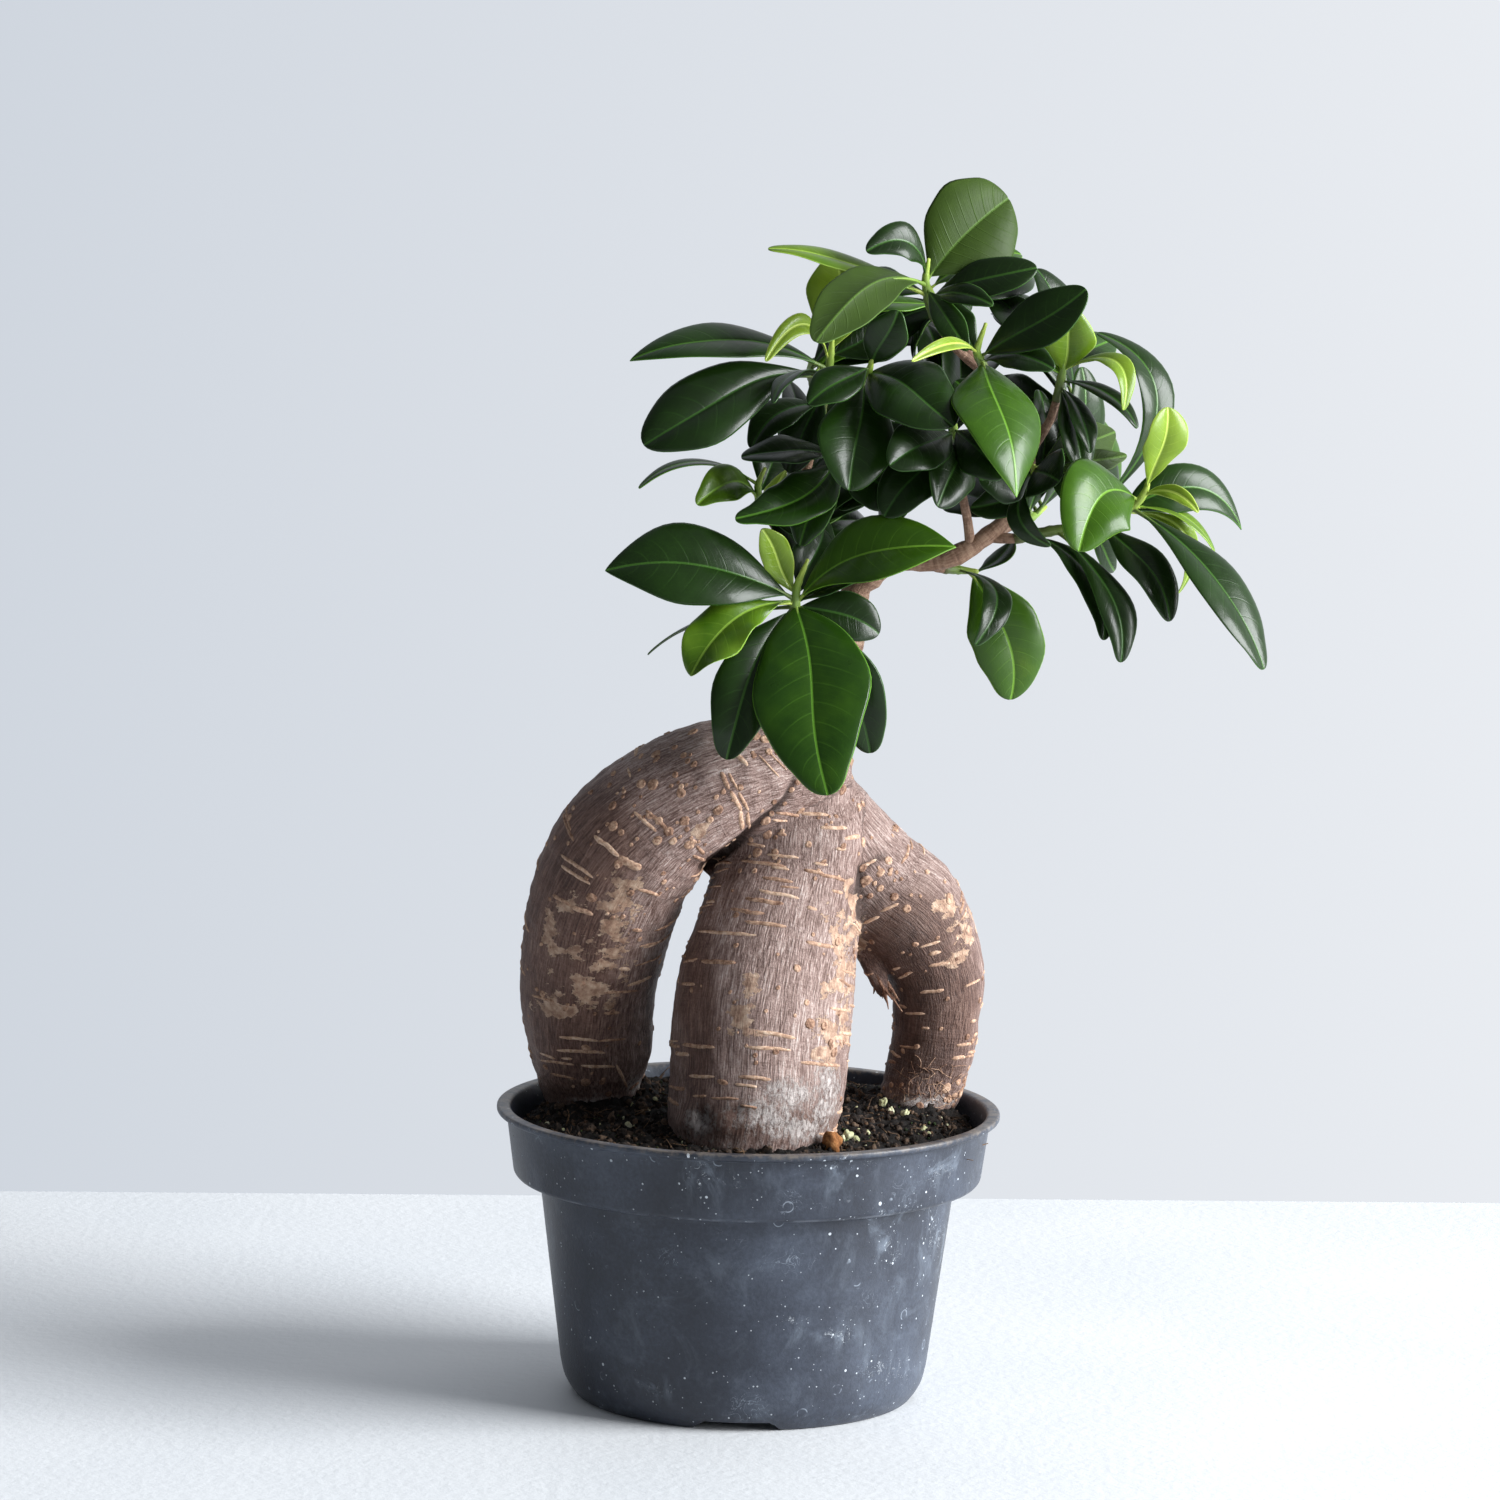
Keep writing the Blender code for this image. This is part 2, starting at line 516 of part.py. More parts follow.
def build_pot(collection, cutters):
    profile = ((0.0, FLOOR_TOP),) + POT_INSIDE + POT_OUTSIDE
    profile += ((FOOT_INNER_RADIUS, 0.0), (FOOT_INNER_RADIUS - 0.6, FLOOR_UNDERSIDE))
    profile += ((0.0, FLOOR_UNDERSIDE),)
    pot = turned("pot", profile, POT_STEPS, collection)
    front_notch = add_cutter("front_and_back_notch", notch_mesh(), cutters)
    side_notch = add_cutter("side_notches", notch_mesh(), cutters)
    side_notch.rotation_euler.z = math.pi / 2
    drains = add_cutter("drain_holes", drain_mesh(), cutters)
    for cutter in (front_notch, side_notch, drains):
        cut(pot, cutter)
    pot.data.materials.append(material("pot_plastic", (0.045, 0.05, 0.062), 0.5))
    pot.data.shade_smooth()
    pot.data.set_sharp_from_angle(angle=SHARP_ANGLE)
    return pot


def soil_rise(x, y):
    """How far the soil stands up or lies low here: it slopes to the front and has crumbs."""
    slope = min(max(SOIL_TILT * y, -SOIL_TILT_LIMIT), SOIL_TILT_LIMIT)
    return slope + SOIL_LUMP * noise.noise(Vector((x, y, 3.0)) / SOIL_LUMP_SIZE)


def build_soil(collection, cutters):
    profile = SOIL_TOP + SOIL_SIDE + ((0.0, SOIL_SIDE[-1][1]),)
    soil = turned("soil", profile, SOIL_STEPS, collection)
    mesh = applied(soil, "soil")
    for vert in mesh.vertices:
        x, y, z = vert.co / MM
        inside = SOIL_TOP[-1][0] - math.hypot(x, y) > SOIL_EDGE
        if inside and z > SOIL_TOP[-1][1] - SOIL_EDGE:
            vert.co.z += soil_rise(x, y) * MM
    remove_objects([soil])
    soil = add_object("soil", mesh, collection)
    for name, leg in (("left", LEFT_LEG), ("middle", MIDDLE_LEG), ("right", RIGHT_LEG)):
        across, up, depth, thickness = leg[-1]
        buried = tuple(row for row in leg[:-1] if row[1] < HOLE_FROM)
        deeper = buried + ((across, up - HOLE_SPARE_DEPTH, depth, thickness),)
        hole = tube_mesh(f"{name}_leg_hole", deeper, HOLE_SIDES, HOLE_CLEARANCE, bends=2)
        cut(soil, add_cutter(f"{name}_leg_hole", hole, cutters))
    soil.data.materials.append(material("peat_soil", (0.022, 0.016, 0.012), 0.95))
    return soil


def join_meshes(name, meshes):
    shape = bmesh.new()
    for mesh in meshes:
        shape.from_mesh(mesh)
    mesh = bpy.data.meshes.new(name)
    shape.to_mesh(mesh)
    shape.free()
    return mesh


def crown_mesh():
    shape = bmesh.new()
    bmesh.ops.create_icosphere(shape, subdivisions=4, radius=1.0)
    size = Matrix.Diagonal(Vector((*CROWN_RADII, 1.0)))
    centre = Matrix.Translation(place(*CROWN_CENTRE))
    bmesh.ops.transform(shape, matrix=Matrix.Scale(MM, 4) @ centre @ size, verts=shape.verts)
    mesh = bpy.data.meshes.new("crown")
    shape.to_mesh(mesh)
    shape.free()
    return mesh


def caudex_mesh(collection):
    """The legs and the crown, grown into one body with soft creases between them."""
    legs = [
        tube_mesh(name, rows, LEG_SIDES, bends=LEG_BENDS)
        for name, rows in (("left", LEFT_LEG), ("middle", MIDDLE_LEG), ("right", RIGHT_LEG))
    ]
    legs.append(tube_mesh("dead_root", DEAD_ROOT, ROOT_SIDES, bends=LEG_BENDS))
    caudex = add_object("caudex", join_meshes("caudex", [*legs, crown_mesh()]), collection)
    remesh = caudex.modifiers.new("Grow together", "REMESH")
    remesh.mode = "VOXEL"
    remesh.voxel_size = VOXEL * MM
    smooth = caudex.modifiers.new("Soften", "SMOOTH")
    smooth.iterations = SMOOTHING
    mesh = applied(caudex, "caudex")
    normals = [vert.normal.copy() for vert in mesh.vertices]
    for vert, normal in zip(mesh.vertices, normals):
        swell = noise.noise(vert.co / (SWELL_SIZE * MM))
        vert.co += normal * swell * SWELL * MM
    caudex.modifiers.clear()
    caudex.data = mesh
    triangles = sum(len(face.vertices) - 2 for face in mesh.polygons)
    decimate = caudex.modifiers.new("Facet", "DECIMATE")
    decimate.ratio = CAUDEX_TRIANGLES / triangles
    decimate.use_collapse_triangulate = True
    mesh = applied(caudex, "caudex")
    remove_objects([caudex])
    return mesh


def fuse(name, mesh, extras, collection):
    """One body from a mesh and what grows out of it."""
    item = add_object(name, mesh, collection)
    grown = bpy.data.collections.new(f"{name}_pieces")
    bpy.context.scene.collection.children.link(grown)
    for index, extra in enumerate(extras):
        add_object(f"{name}_{index}", extra, grown)
    union = item.modifiers.new("Grow together", "BOOLEAN")
    union.operation = "UNION"
    union.operand_type = "COLLECTION"
    union.material_mode = "TRANSFER"
    union.collection = grown
    fused = applied(item, name)
    item.modifiers.clear()
    item.data = fused
    remove_objects(grown.objects)
    bpy.data.collections.remove(grown)
    return item


def build_trunk(collection):
    branches = [tube_mesh("stem", STEM, STEM_SIDES)]
    branches += [tube_mesh(shoot.name, shoot.branch, TWIG_SIDES) for shoot in SHOOTS]
    trunk = fuse("trunk", caudex_mesh(collection), branches, collection)
    trunk.data.materials.append(material("bark", (0.19, 0.125, 0.1), 0.8))
    return trunk


def twig_rows(shoot):
    """The green twig, which starts a small gap past the end of its branch."""
    end = Vector(shoot.branch[-1][:3])
    onward = (Vector(shoot.twig[0][:3]) - end).normalized()
    start = end + onward * GAP
    return ((*start, shoot.branch[-1][3] - 0.2),) + shoot.twig


def nearest_on_twig(shoot, across, up):
    """The point of the twig that shows nearest to a place, with its depth."""
    target = Vector((across, up))
    rows = twig_rows(shoot)
    best = None
    for first, last in zip(rows, rows[1:]):
        a, b = Vector(first[:3]), Vector(last[:3])
        run = (b - a).xy
        share = (target - a.xy).dot(run) / max(run.length_squared, 1e-6)
        spot = a.lerp(b, min(max(share, LEAFY_PART[0]), LEAFY_PART[1]))
        miss = (spot.xy - target).length
        if best is None or miss < best[0]:
            best = (miss, spot)
    return best[1]


class Blade:
    """The middle surface of one leaf: a midrib with the two halves of the blade."""

    def __init__(self, leaf, root, tip, turn):
        self.leaf = leaf
        self.root = root
        self.tip = tip
        chord = tip - root
        self.length = chord.length
        along = chord.normalized()
        toward_viewer = Vector((0, -1, 0.12))
        facing = (toward_viewer - along * toward_viewer.dot(along)).normalized()
        side = along.cross(facing)
        if side.dot(Vector((0.35, 0, 1))) < 0:
            side.negate()
        turned_by = math.radians(turn)
        upper = facing * math.cos(turned_by) + side * math.sin(turned_by)
        self.across = along.cross(upper).normalized()
        bend = 2 * (side * leaf.bow + upper * leaf.arch) + along * leaf.lean
        self.control = (root + tip) / 2 + bend * self.length
        self.petiole = PETIOLE_SHARE if leaf.broad >= 1 else ROUND_PETIOLE_SHARE
        self.upper = upper * leaf.face

    def midrib(self, t):
        return self.root.lerp(self.control, t).lerp(self.control.lerp(self.tip, t), t)

    def direction(self, t):
        return (self.control - self.root).lerp(self.tip - self.control, t).normalized()

    def half_width(self, t):
        if t <= self.petiole:
            return PETIOLE_THICKNESS / 2
        s = (t - self.petiole) / (1 - self.petiole)
        run = (OUTLINE_END * s) ** self.leaf.broad
        fullness = BASE_FULLNESS if run < 0.5 else self.leaf.blunt
        outline = math.sin(math.pi * run) ** fullness
        return max(PETIOLE_THICKNESS / 2, self.leaf.width / 2 * outline)

    def frame(self, t):
        along = self.direction(t)
        across = (self.across - along * self.across.dot(along)).normalized()
        upper = across.cross(along)
        if upper.dot(self.upper) < 0:
            upper.negate()
        return across, upper

    def point(self, t, x):
        """A place on the blade: t along the midrib, x from one edge to the other."""
        across, upper = self.frame(t)
        half = self.half_width(t)
        fold = math.radians(self.leaf.fold)
        spread = across * math.cos(fold) * x + upper * math.sin(fold) * abs(x)
        offset = RIPPLE_OFFSET if x > 0 else 0.0
        ripple = self.leaf.wave * math.sin(t * RIPPLES + offset) * x * x
        return self.midrib(t) + spread * half + upper * ripple

    def stations(self):
        """Where the rings of the slab stand along the midrib."""
        if self.leaf.broad < 1:
            return ROUND_STATIONS
        small = self.length < SMALL_LEAF or self.tip.y > BACK_DEPTH
        return SMALL_STATIONS if small else LARGE_STATIONS

    def thickness(self, t, spare=0.0):
        base = PETIOLE_THICKNESS if t < self.petiole else LEAF_THICKNESS
        return base + 2 * spare


def leaf_mesh(blade, spare=0.0, free_from=0.0):
    """The leaf as vertices and triangles: a thin slab, split alike on both faces."""
    stations = [t for t in blade.stations() if t >= free_from]
    verts = []
    for t in stations:
        across, upper = blade.frame(t)
        lift = upper * blade.thickness(t, spare) / 2
        ring = [blade.point(t, x) + across * x * spare for x in (-1, 0, 1)]
        verts += [p + lift for p in ring] + [p - lift for p in reversed(ring)]
    faces = []
    for i in range(len(stations) - 1):
        a, b = 6 * i, 6 * (i + 1)
        for j in range(6):
            k = (j + 1) % 6
            if j in (0, 3, 5):
                faces += [(a + j, a + k, b + k), (a + j, b + k, b + j)]
            else:
                faces += [(a + j, a + k, b + j), (a + k, b + k, b + j)]
    for start, flip in ((0, False), (6 * (len(stations) - 1), True)):
        for quad in ((0, 1, 4, 5), (1, 2, 3, 4)):
            ring = [start + q for q in quad]
            ring = ring if flip else ring[::-1]
            faces += [(ring[0], ring[1], ring[2]), (ring[0], ring[2], ring[3])]
    return verts, faces


class Crowd:
    """What already stands, so that each new leaf can be bent clear of it."""

    def __init__(self):
        self.items = []

    def add(self, owner, verts, faces):
        low = Vector([min(v[i] for v in verts) for i in range(3)])
        high = Vector([max(v[i] for v in verts) for i in range(3)])
        self.items.append((owner, low, high, BVHTree.FromPolygons(verts, faces)))

    def meets(self, verts, faces, skipped=()):
        low = Vector([min(v[i] for v in verts) for i in range(3)])
        high = Vector([max(v[i] for v in verts) for i in range(3)])
        tree = BVHTree.FromPolygons(verts, faces)
        for owner, a, b, other in self.items:
            if owner in skipped:
                continue
            apart = any(low[i] > b[i] or high[i] < a[i] for i in range(3))
            if not apart and tree.overlap(other):
                return True
        return False


def bent_clear(shoot, leaf, crowd):
    """The leaf's blade, with its tip moved in depth or its face turned until it is free."""
    root = place(*nearest_on_twig(shoot, *leaf.root))
    for turn_shift in TURN_SHIFTS:
        for depth_shift in DEPTH_SHIFTS:
            across, up, depth = leaf.tip
            if depth + depth_shift > DEPTH_LIMIT:
                continue
            tip = place(across, up, depth + depth_shift)
            blade = Blade(leaf, root, tip, leaf.turn + turn_shift)
            whole = leaf_mesh(blade, CLEARANCE)
            if crowd.meets(*whole, (shoot.name, shoot.name + "_twig")):
                continue
            free = leaf_mesh(blade, CLEARANCE, FREE_SHARE)
            if not crowd.meets(*free):
                return blade
    return None


def grown_leaves(shoot, rng):
    """Leaves set round the twig at the golden angle, where the head is dense from the front."""
    rows = [place(*row[:3]) for row in twig_rows(shoot)]
    axis = (rows[-1] - rows[0]).normalized()
    first = axis.orthogonal().normalized()
    second = axis.cross(first)
    leaves = []
    turn = rng.uniform(0, math.tau)
    for _ in range(TRIES_A_LEAF * shoot.grown):
        if len(leaves) == shoot.grown:
            break
        turn += GOLDEN_ANGLE
        share = 0.15 + 0.8 * (len(leaves) + 0.5) / shoot.grown
        root = rows[0].lerp(rows[-1], share)
        lean = math.radians(rng.uniform(*GROWN_LEANS))
        outward = first * math.cos(turn) + second * math.sin(turn)
        heading = axis * math.cos(lean) + outward * math.sin(lean)
        length = rng.uniform(*GROWN_LENGTHS)
        tip = root + heading * length
        across, up = shown(tip)
        hidden = any(math.hypot(across - a, up - b) < r for a, b, r in DENSE_ROUNDS)
        if not hidden or tip.y > DEPTH_LIMIT or heading.y < FORWARD_LIMIT:
            continue
        leaves.append(Leaf(
            shown(root), (across, up, tip.y), length * rng.uniform(*GROWN_WIDTHS),
            turn=rng.uniform(*GROWN_TURNS), arch=rng.uniform(*GROWN_ARCHES),
            youth=rng.choice(GROWN_YOUTHS),
        ))
    return leaves


def settled_leaves(trunk):
    """Every leaf's blade, shoot by shoot, each bent clear of those before it."""
    crowd = Crowd()
    trunk_faces = [tuple(face.vertices) for face in trunk.data.polygons]
    crowd.add("trunk", [v.co / MM for v in trunk.data.vertices], trunk_faces)
    for shoot in SHOOTS:
        mesh = tube_mesh("probe", twig_rows(shoot), TWIG_SIDES, swell=CLEARANCE)
        faces = [tuple(face.vertices) for face in mesh.polygons]
        crowd.add(shoot.name + "_twig", [v.co / MM for v in mesh.vertices], faces)
    rng = random.Random(GROWTH_SEED)
    blades = {}
    for shoot in SHOOTS:
        blades[shoot.name] = []
        for leaf in (*shoot.leaves, *grown_leaves(shoot, rng)):
            blade = bent_clear(shoot, leaf, crowd)
            if blade is not None:
                blades[shoot.name].append(blade)
                crowd.add(shoot.name, *leaf_mesh(blade))
    return blades


def green_for(youth, greens):
    """The first of the greens that reaches up to this youth."""
    return next(green for limit, green in greens if youth <= limit)


def build_shoot(shoot, blades, collection, greens):
    leaves = []
    for blade in blades:
        verts, faces = leaf_mesh(blade)
        mesh = bpy.data.meshes.new("leaf")
        mesh.from_pydata([v * MM for v in verts], [], faces)
        mesh.materials.append(green_for(blade.leaf.youth, greens))
        leaves.append(mesh)
    twig = tube_mesh(shoot.name, twig_rows(shoot), TWIG_SIDES)
    twig.materials.append(green_for(TWIG_YOUTH, greens))
    return fuse(shoot.name, twig, leaves, collection)


def clear_scene():
    for item in list(bpy.data.objects):
        bpy.data.objects.remove(item)


def main():
    clear_scene()
    plant = bpy.data.collections.new("ginseng_ficus")
    cutters = bpy.data.collections.new("cutters")
    bpy.context.scene.collection.children.link(plant)
    bpy.context.scene.collection.children.link(cutters)
    pot = build_pot(plant, cutters)
    soil = build_soil(plant, cutters)
    trunk = build_trunk(plant)
    greens = [(limit, material(name, colour, 0.35)) for name, limit, colour in GREENS]
    blades = settled_leaves(trunk)
    shoots = [build_shoot(shoot, blades[shoot.name], plant, greens) for shoot in SHOOTS]
    axis = bpy.data.objects.new("pot_axis", None)
    plant.objects.link(axis)
    axis.location = POT_AXIS * MM
    for item in (pot, soil, trunk, *shoots, *cutters.objects):
        item.parent = axis


main()
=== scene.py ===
"""The looks of a grafted ginseng ficus in its nursery pot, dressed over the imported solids.

Lengths are in millimetres from the pot's axis at the table until a mesh is made.
"""
import math
import random
from typing import NamedTuple

import bmesh
import bpy
import numpy as np
from mathutils import Euler, Matrix, Vector, noise
from mathutils.bvhtree import BVHTree
from mathutils.kdtree import KDTree


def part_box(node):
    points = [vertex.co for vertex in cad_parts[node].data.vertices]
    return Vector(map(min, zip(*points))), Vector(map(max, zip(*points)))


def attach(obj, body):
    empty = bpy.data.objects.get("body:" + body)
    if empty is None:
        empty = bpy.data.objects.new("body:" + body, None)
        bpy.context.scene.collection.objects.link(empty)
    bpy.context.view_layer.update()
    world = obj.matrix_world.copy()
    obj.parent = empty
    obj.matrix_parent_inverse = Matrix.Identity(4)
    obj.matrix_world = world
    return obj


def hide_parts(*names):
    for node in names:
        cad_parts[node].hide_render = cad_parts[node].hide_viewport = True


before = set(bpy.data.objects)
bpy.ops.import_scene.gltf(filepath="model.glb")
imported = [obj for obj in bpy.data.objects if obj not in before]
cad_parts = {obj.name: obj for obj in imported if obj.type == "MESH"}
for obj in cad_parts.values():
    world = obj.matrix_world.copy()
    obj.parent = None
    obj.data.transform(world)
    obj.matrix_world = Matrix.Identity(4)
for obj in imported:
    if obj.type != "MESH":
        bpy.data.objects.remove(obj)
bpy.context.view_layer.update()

MM = 0.001
MERGE = 0.00001
GAP = 0.3
AXIS = sum(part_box("pot"), Vector()) / 2
AXIS.z = 0.0

# The photograph's viewpoint: where it stands, how it is turned, and its focal length in pixels
VIEW_DISTANCE = 1800.0
VIEW_HEIGHT = 435.0
FOCAL = 5975.0
PHOTO_SIZE = 1500
PITCH, ROLL, YAW = (math.radians(angle) for angle in (7.47, 1.2, 0.058))
EYE = Vector((0.0, -VIEW_DISTANCE, VIEW_HEIGHT))
TILTED = Euler((math.pi / 2 - PITCH, 0, 0)).to_matrix()
GAZE = Matrix.Rotation(YAW, 3, "Z") @ TILTED @ Matrix.Rotation(ROLL, 3, "Z")

POT_HEIGHT = 89.0
LIP_RADIUS = 77.0
POT_OUTSIDE = (
    (LIP_RADIUS, POT_HEIGHT), (LIP_RADIUS, 87.2), (74.0, 86.5), (71.6, 68.8), (70.6, 67.6),
    (64.2, 67.0), (63.4, 65.4), (56.3, 10.4), (55.2, 5.6), (53.2, 2.2), (51.4, 0.0),
)
FOOT_INNER_RADIUS = 46.5
FLOOR_UNDERSIDE = 3.2
FLOOR_TOP = 5.0
POT_INSIDE = (
    (51.6, FLOOR_TOP), (54.8, 10.0), (61.9, 66.4), (62.8, 68.4), (69.6, 69.2), (72.2, 85.8),
    (73.0, POT_HEIGHT),
)
FOOT_ROUNDED = 12.0
NOTCH_BASE_WIDTH = 29.0
NOTCH_TOP_WIDTH = 21.0
NOTCH_HEIGHT = 2.9
NOTCH_SHIFT = -1.5
DRAIN_HOLES = 6
DRAIN_HOLE_RADIUS = 4.0
DRAIN_CIRCLE = 34.0

SOIL_TOP = ((0.0, 85.6), (22.0, 85.6), (40.0, 85.4), (55.0, 84.8), (65.0, 82.6), (71.1, 80.5))
# The side of the soil's visible layer inside the pot, which ends flat
SOIL_SIDE = ((69.2, 69.7), (62.4, 68.9), (61.0, 60.0))
SOIL_STEPS = 300
SOIL_RINGS = 110
SOIL_TILT = 0.085
SOIL_TILT_LIMIT = 3.0
SOIL_LUMP = 1.3
SOIL_LUMP_SIZE = 9.0

# Legs: across, up, depth and thickness, from inside the crown to the end in the soil
LEFT_LEG = (
    (25, 196, 0, 17), (14, 195, -4, 29), (0, 192, -9, 35), (-20, 184.5, -11, 40.5),
    (-35.5, 171.5, -6, 45), (-44, 156, 1, 46), (-48, 139, 9, 44), (-49.8, 121, 16, 41),
    (-48.8, 106, 22, 37.5), (-47.5, 92.5, 25, 31), (-44.5, 80, 24, 26), (-40, 68, 23, 20),
    (-37, 58, 22, 18),
)
MIDDLE_LEG = (
    (16, 202, 4, 14), (15, 195, 6, 27), (14, 186, 7, 39), (13, 174, 6, 45.5), (11.5, 160, 4, 47),
    (8, 144, -2, 50), (5, 127, -7, 54), (3, 110, -11, 54.5), (2.6, 97, -13.5, 53.5),
    (1.5, 86, -15, 52), (0, 76, -14, 48), (-0.5, 58, -13, 40),
)
RIGHT_LEG = (
    (19, 180, 6, 31), (35.8, 159.6, 14, 36), (45.6, 151.8, 17, 37), (51, 144.4, 20, 33.5),
    (54.8, 136.8, 22, 30.5), (57, 127, 24, 28.5), (56.5, 119, 25, 27), (55.8, 110, 26, 26.5),
    (54.3, 102, 26, 25.5), (52.3, 93.5, 25, 24), (48.5, 80, 23.5, 21), (41.5, 68, 22, 18),
    (38.5, 58, 21, 16),
)
DEAD_ROOT = ((31, 146, 13, 9), (36, 135, 12, 7.5), (39, 128.5, 11, 6), (41, 124, 11, 3.5))
CROWN_CENTRE = (14.5, 188, 3)
CROWN_RADII = (15.5, 16.0, 17.5)
SWELL = 0.8
SWELL_SIZE = 24.0

# Bark-covered wood above the crown: across, up, depth and thickness
STEM = (
    (22, 192, 2, 15), (23.5, 203, 2, 11), (25.5, 216, 2, 9), (27.3, 231, 2, 8.6),
    (28.2, 244, 1, 8), (31, 251, 0, 8.4), (36.5, 256, -1, 8.6), (41.5, 257.4, -2, 5.8),
    (52, 257.4, -3, 5.6), (61, 260.6, -3, 6.0), (68.5, 265.8, -2, 5.2), (74.5, 271.5, 0, 4.6),
    (79.5, 281, 5, 4.2), (80, 294, 8, 3.8), (74, 308, 10, 3.4), (63, 319, 10, 3.2),
)

# Leaves
PETIOLE_SHARE = 0.12
ROUND_PETIOLE_SHARE = 0.06
OUTLINE_END = 0.985
BASE_FULLNESS = 0.85
RIPPLES = 15.0
RIPPLE_OFFSET = 1.3
LEAFY_PART = (0.1, 0.95)
DEPTH_LIMIT = 68.0
DEPTH_SHIFTS = (0, -4, 4, -8, 8, -12, 12, -17, 17, -22, 22, -28, 28)
TURN_SHIFTS = (0, 14, -14, 28, -28)
SLAB_THICKNESS = 0.7
SLAB_PETIOLE = 1.3

# Bars of cork that the photograph shows, from pixel to pixel, with their width
SEEN_MARKS = (
    (560, 854, 594, 878, 1.2), (560, 865, 591, 885, 1.2), (593, 835, 620, 857, 1.6),
    (618, 856, 641, 870, 2.4), (633, 811, 657, 832, 1.1), (645, 809, 674, 836, 1.3),
    (552, 894, 572, 907, 1.3), (571, 906, 594, 915, 1.6), (636, 889, 661, 896, 1.3),
    (618, 969, 631, 970, 1.3), (631, 930, 643, 931, 1.2), (603, 993, 639, 991, 1),
    (603, 1013, 621, 1013, 1.2), (558, 1037, 599, 1041, 1.1), (597, 1041, 627, 1039, 0.9),
    (555, 1050, 607, 1053, 1.1), (539, 1053, 556, 1059, 0.9), (539, 1060, 575, 1065, 0.9),
    (560, 1058, 573, 1059, 0.9), (580, 1066, 616, 1067, 1.1), (549, 1073, 577, 1079, 0.9),
    (531, 995, 555, 1002, 1), (720, 771, 730, 790, 1.3), (730, 790, 742, 812, 1.4),
    (740, 810, 742, 832, 1.6), (728, 772, 738, 791, 0.9), (738, 791, 749, 812, 1.1),
    (748, 811, 749, 830, 1.2), (692, 855, 707, 862, 1.2), (696, 845, 705, 855, 1.2),
    (734, 752, 749, 766, 1.3), (758, 754, 780, 778, 0.6), (764, 748, 788, 771, 0.6),
    (774, 813, 800, 816, 1.2), (800, 813, 830, 815, 1.2), (772, 820, 788, 821, 1),
    (819, 827, 848, 828, 1.2), (777, 833, 787, 835, 1), (843, 839, 861, 836, 1.3),
    (746, 844, 766, 846, 0.9), (835, 849, 847, 849, 1), (766, 854, 800, 858, 0.9),
    (740, 860, 788, 867, 1.1), (770, 866, 790, 870, 0.8), (813, 863, 829, 865, 1),
    (803, 869, 825, 874, 1.1), (818, 873, 847, 881, 1.1), (761, 877, 794, 882, 1.2),
    (757, 890, 800, 898, 1.1), (744, 898, 785, 904, 1.3), (831, 890, 844, 893, 1),
    (729, 909, 766, 914, 1.2), (806, 907, 818, 910, 1.1), (743, 921, 788, 927, 1.2),
    (696, 931, 758, 935, 1.1), (805, 941, 835, 948, 1.2), (700, 961, 737, 963, 1.4),
    (755, 1031, 797, 1038, 1.2), (746, 1047, 792, 1050, 1.1), (681, 1045, 716, 1047, 1.1),
    (688, 1076, 716, 1077, 1), (737, 1077, 772, 1079, 1.2), (734, 1084, 758, 1087, 1),
    (799, 1062, 841, 1066, 1.1), (829, 1008, 849, 1011, 1), (710, 1098, 740, 1099, 0.8),
    (716, 1081, 729, 1084, 1.6), (833, 1038, 842, 1038, 1.2), (740, 1105, 758, 1108, 0.8),
    (692, 1096, 707, 1096, 0.8), (779, 886, 800, 888, 0.8), (862, 867, 877, 859, 1.1),
    (863, 924, 880, 916, 1.1), (880, 912, 899, 903, 0.9), (919, 993, 945, 990, 1.1),
    (928, 966, 951, 963, 1.1), (904, 975, 913, 972, 0.9), (928, 955, 942, 951, 1.1),
    (919, 948, 941, 941, 0.9), (970, 1022, 977, 1020, 1.2), (955, 1046, 973, 1044, 1.1),
    (951, 1059, 966, 1057, 1.2), (904, 1013, 926, 1014, 0.9), (892, 970, 901, 967, 0.9),
    (964, 987, 981, 979, 0.9), (897, 979, 911, 973, 0.8), (921, 1028, 930, 1028, 0.8),
    (899, 1046, 916, 1048, 0.8), (616, 1064, 628, 1088, 1.0),
)
# Where knobs of cork show, as a range of pixels across and down, and how many
SEEN_KNOBS = (
    (600, 700, 735, 850, 34), (680, 800, 730, 860, 34), (640, 720, 780, 900, 16),
    (800, 880, 780, 850, 16), (560, 640, 790, 950, 14), (860, 960, 790, 960, 26),
    (860, 900, 865, 900, 16), (720, 850, 900, 1060, 12), (560, 640, 1040, 1090, 6),
    (944, 972, 1078, 1108, 16),
)
# Legs with bars and knobs by rule: leg, number, from and to along it, and the seen angle
MARKED_LEGS = ((0, 120, 0.22, 0.86, 1.0), (1, 190, 0.2, 0.84, 1.05), (2, 90, 0.16, 0.82, 0.95))
KNOBBED_LEGS = ((0, 110, 0.1, 0.8), (1, 90, 0.15, 0.8), (2, 80, 0.1, 0.8))
MARK_SEED = 5
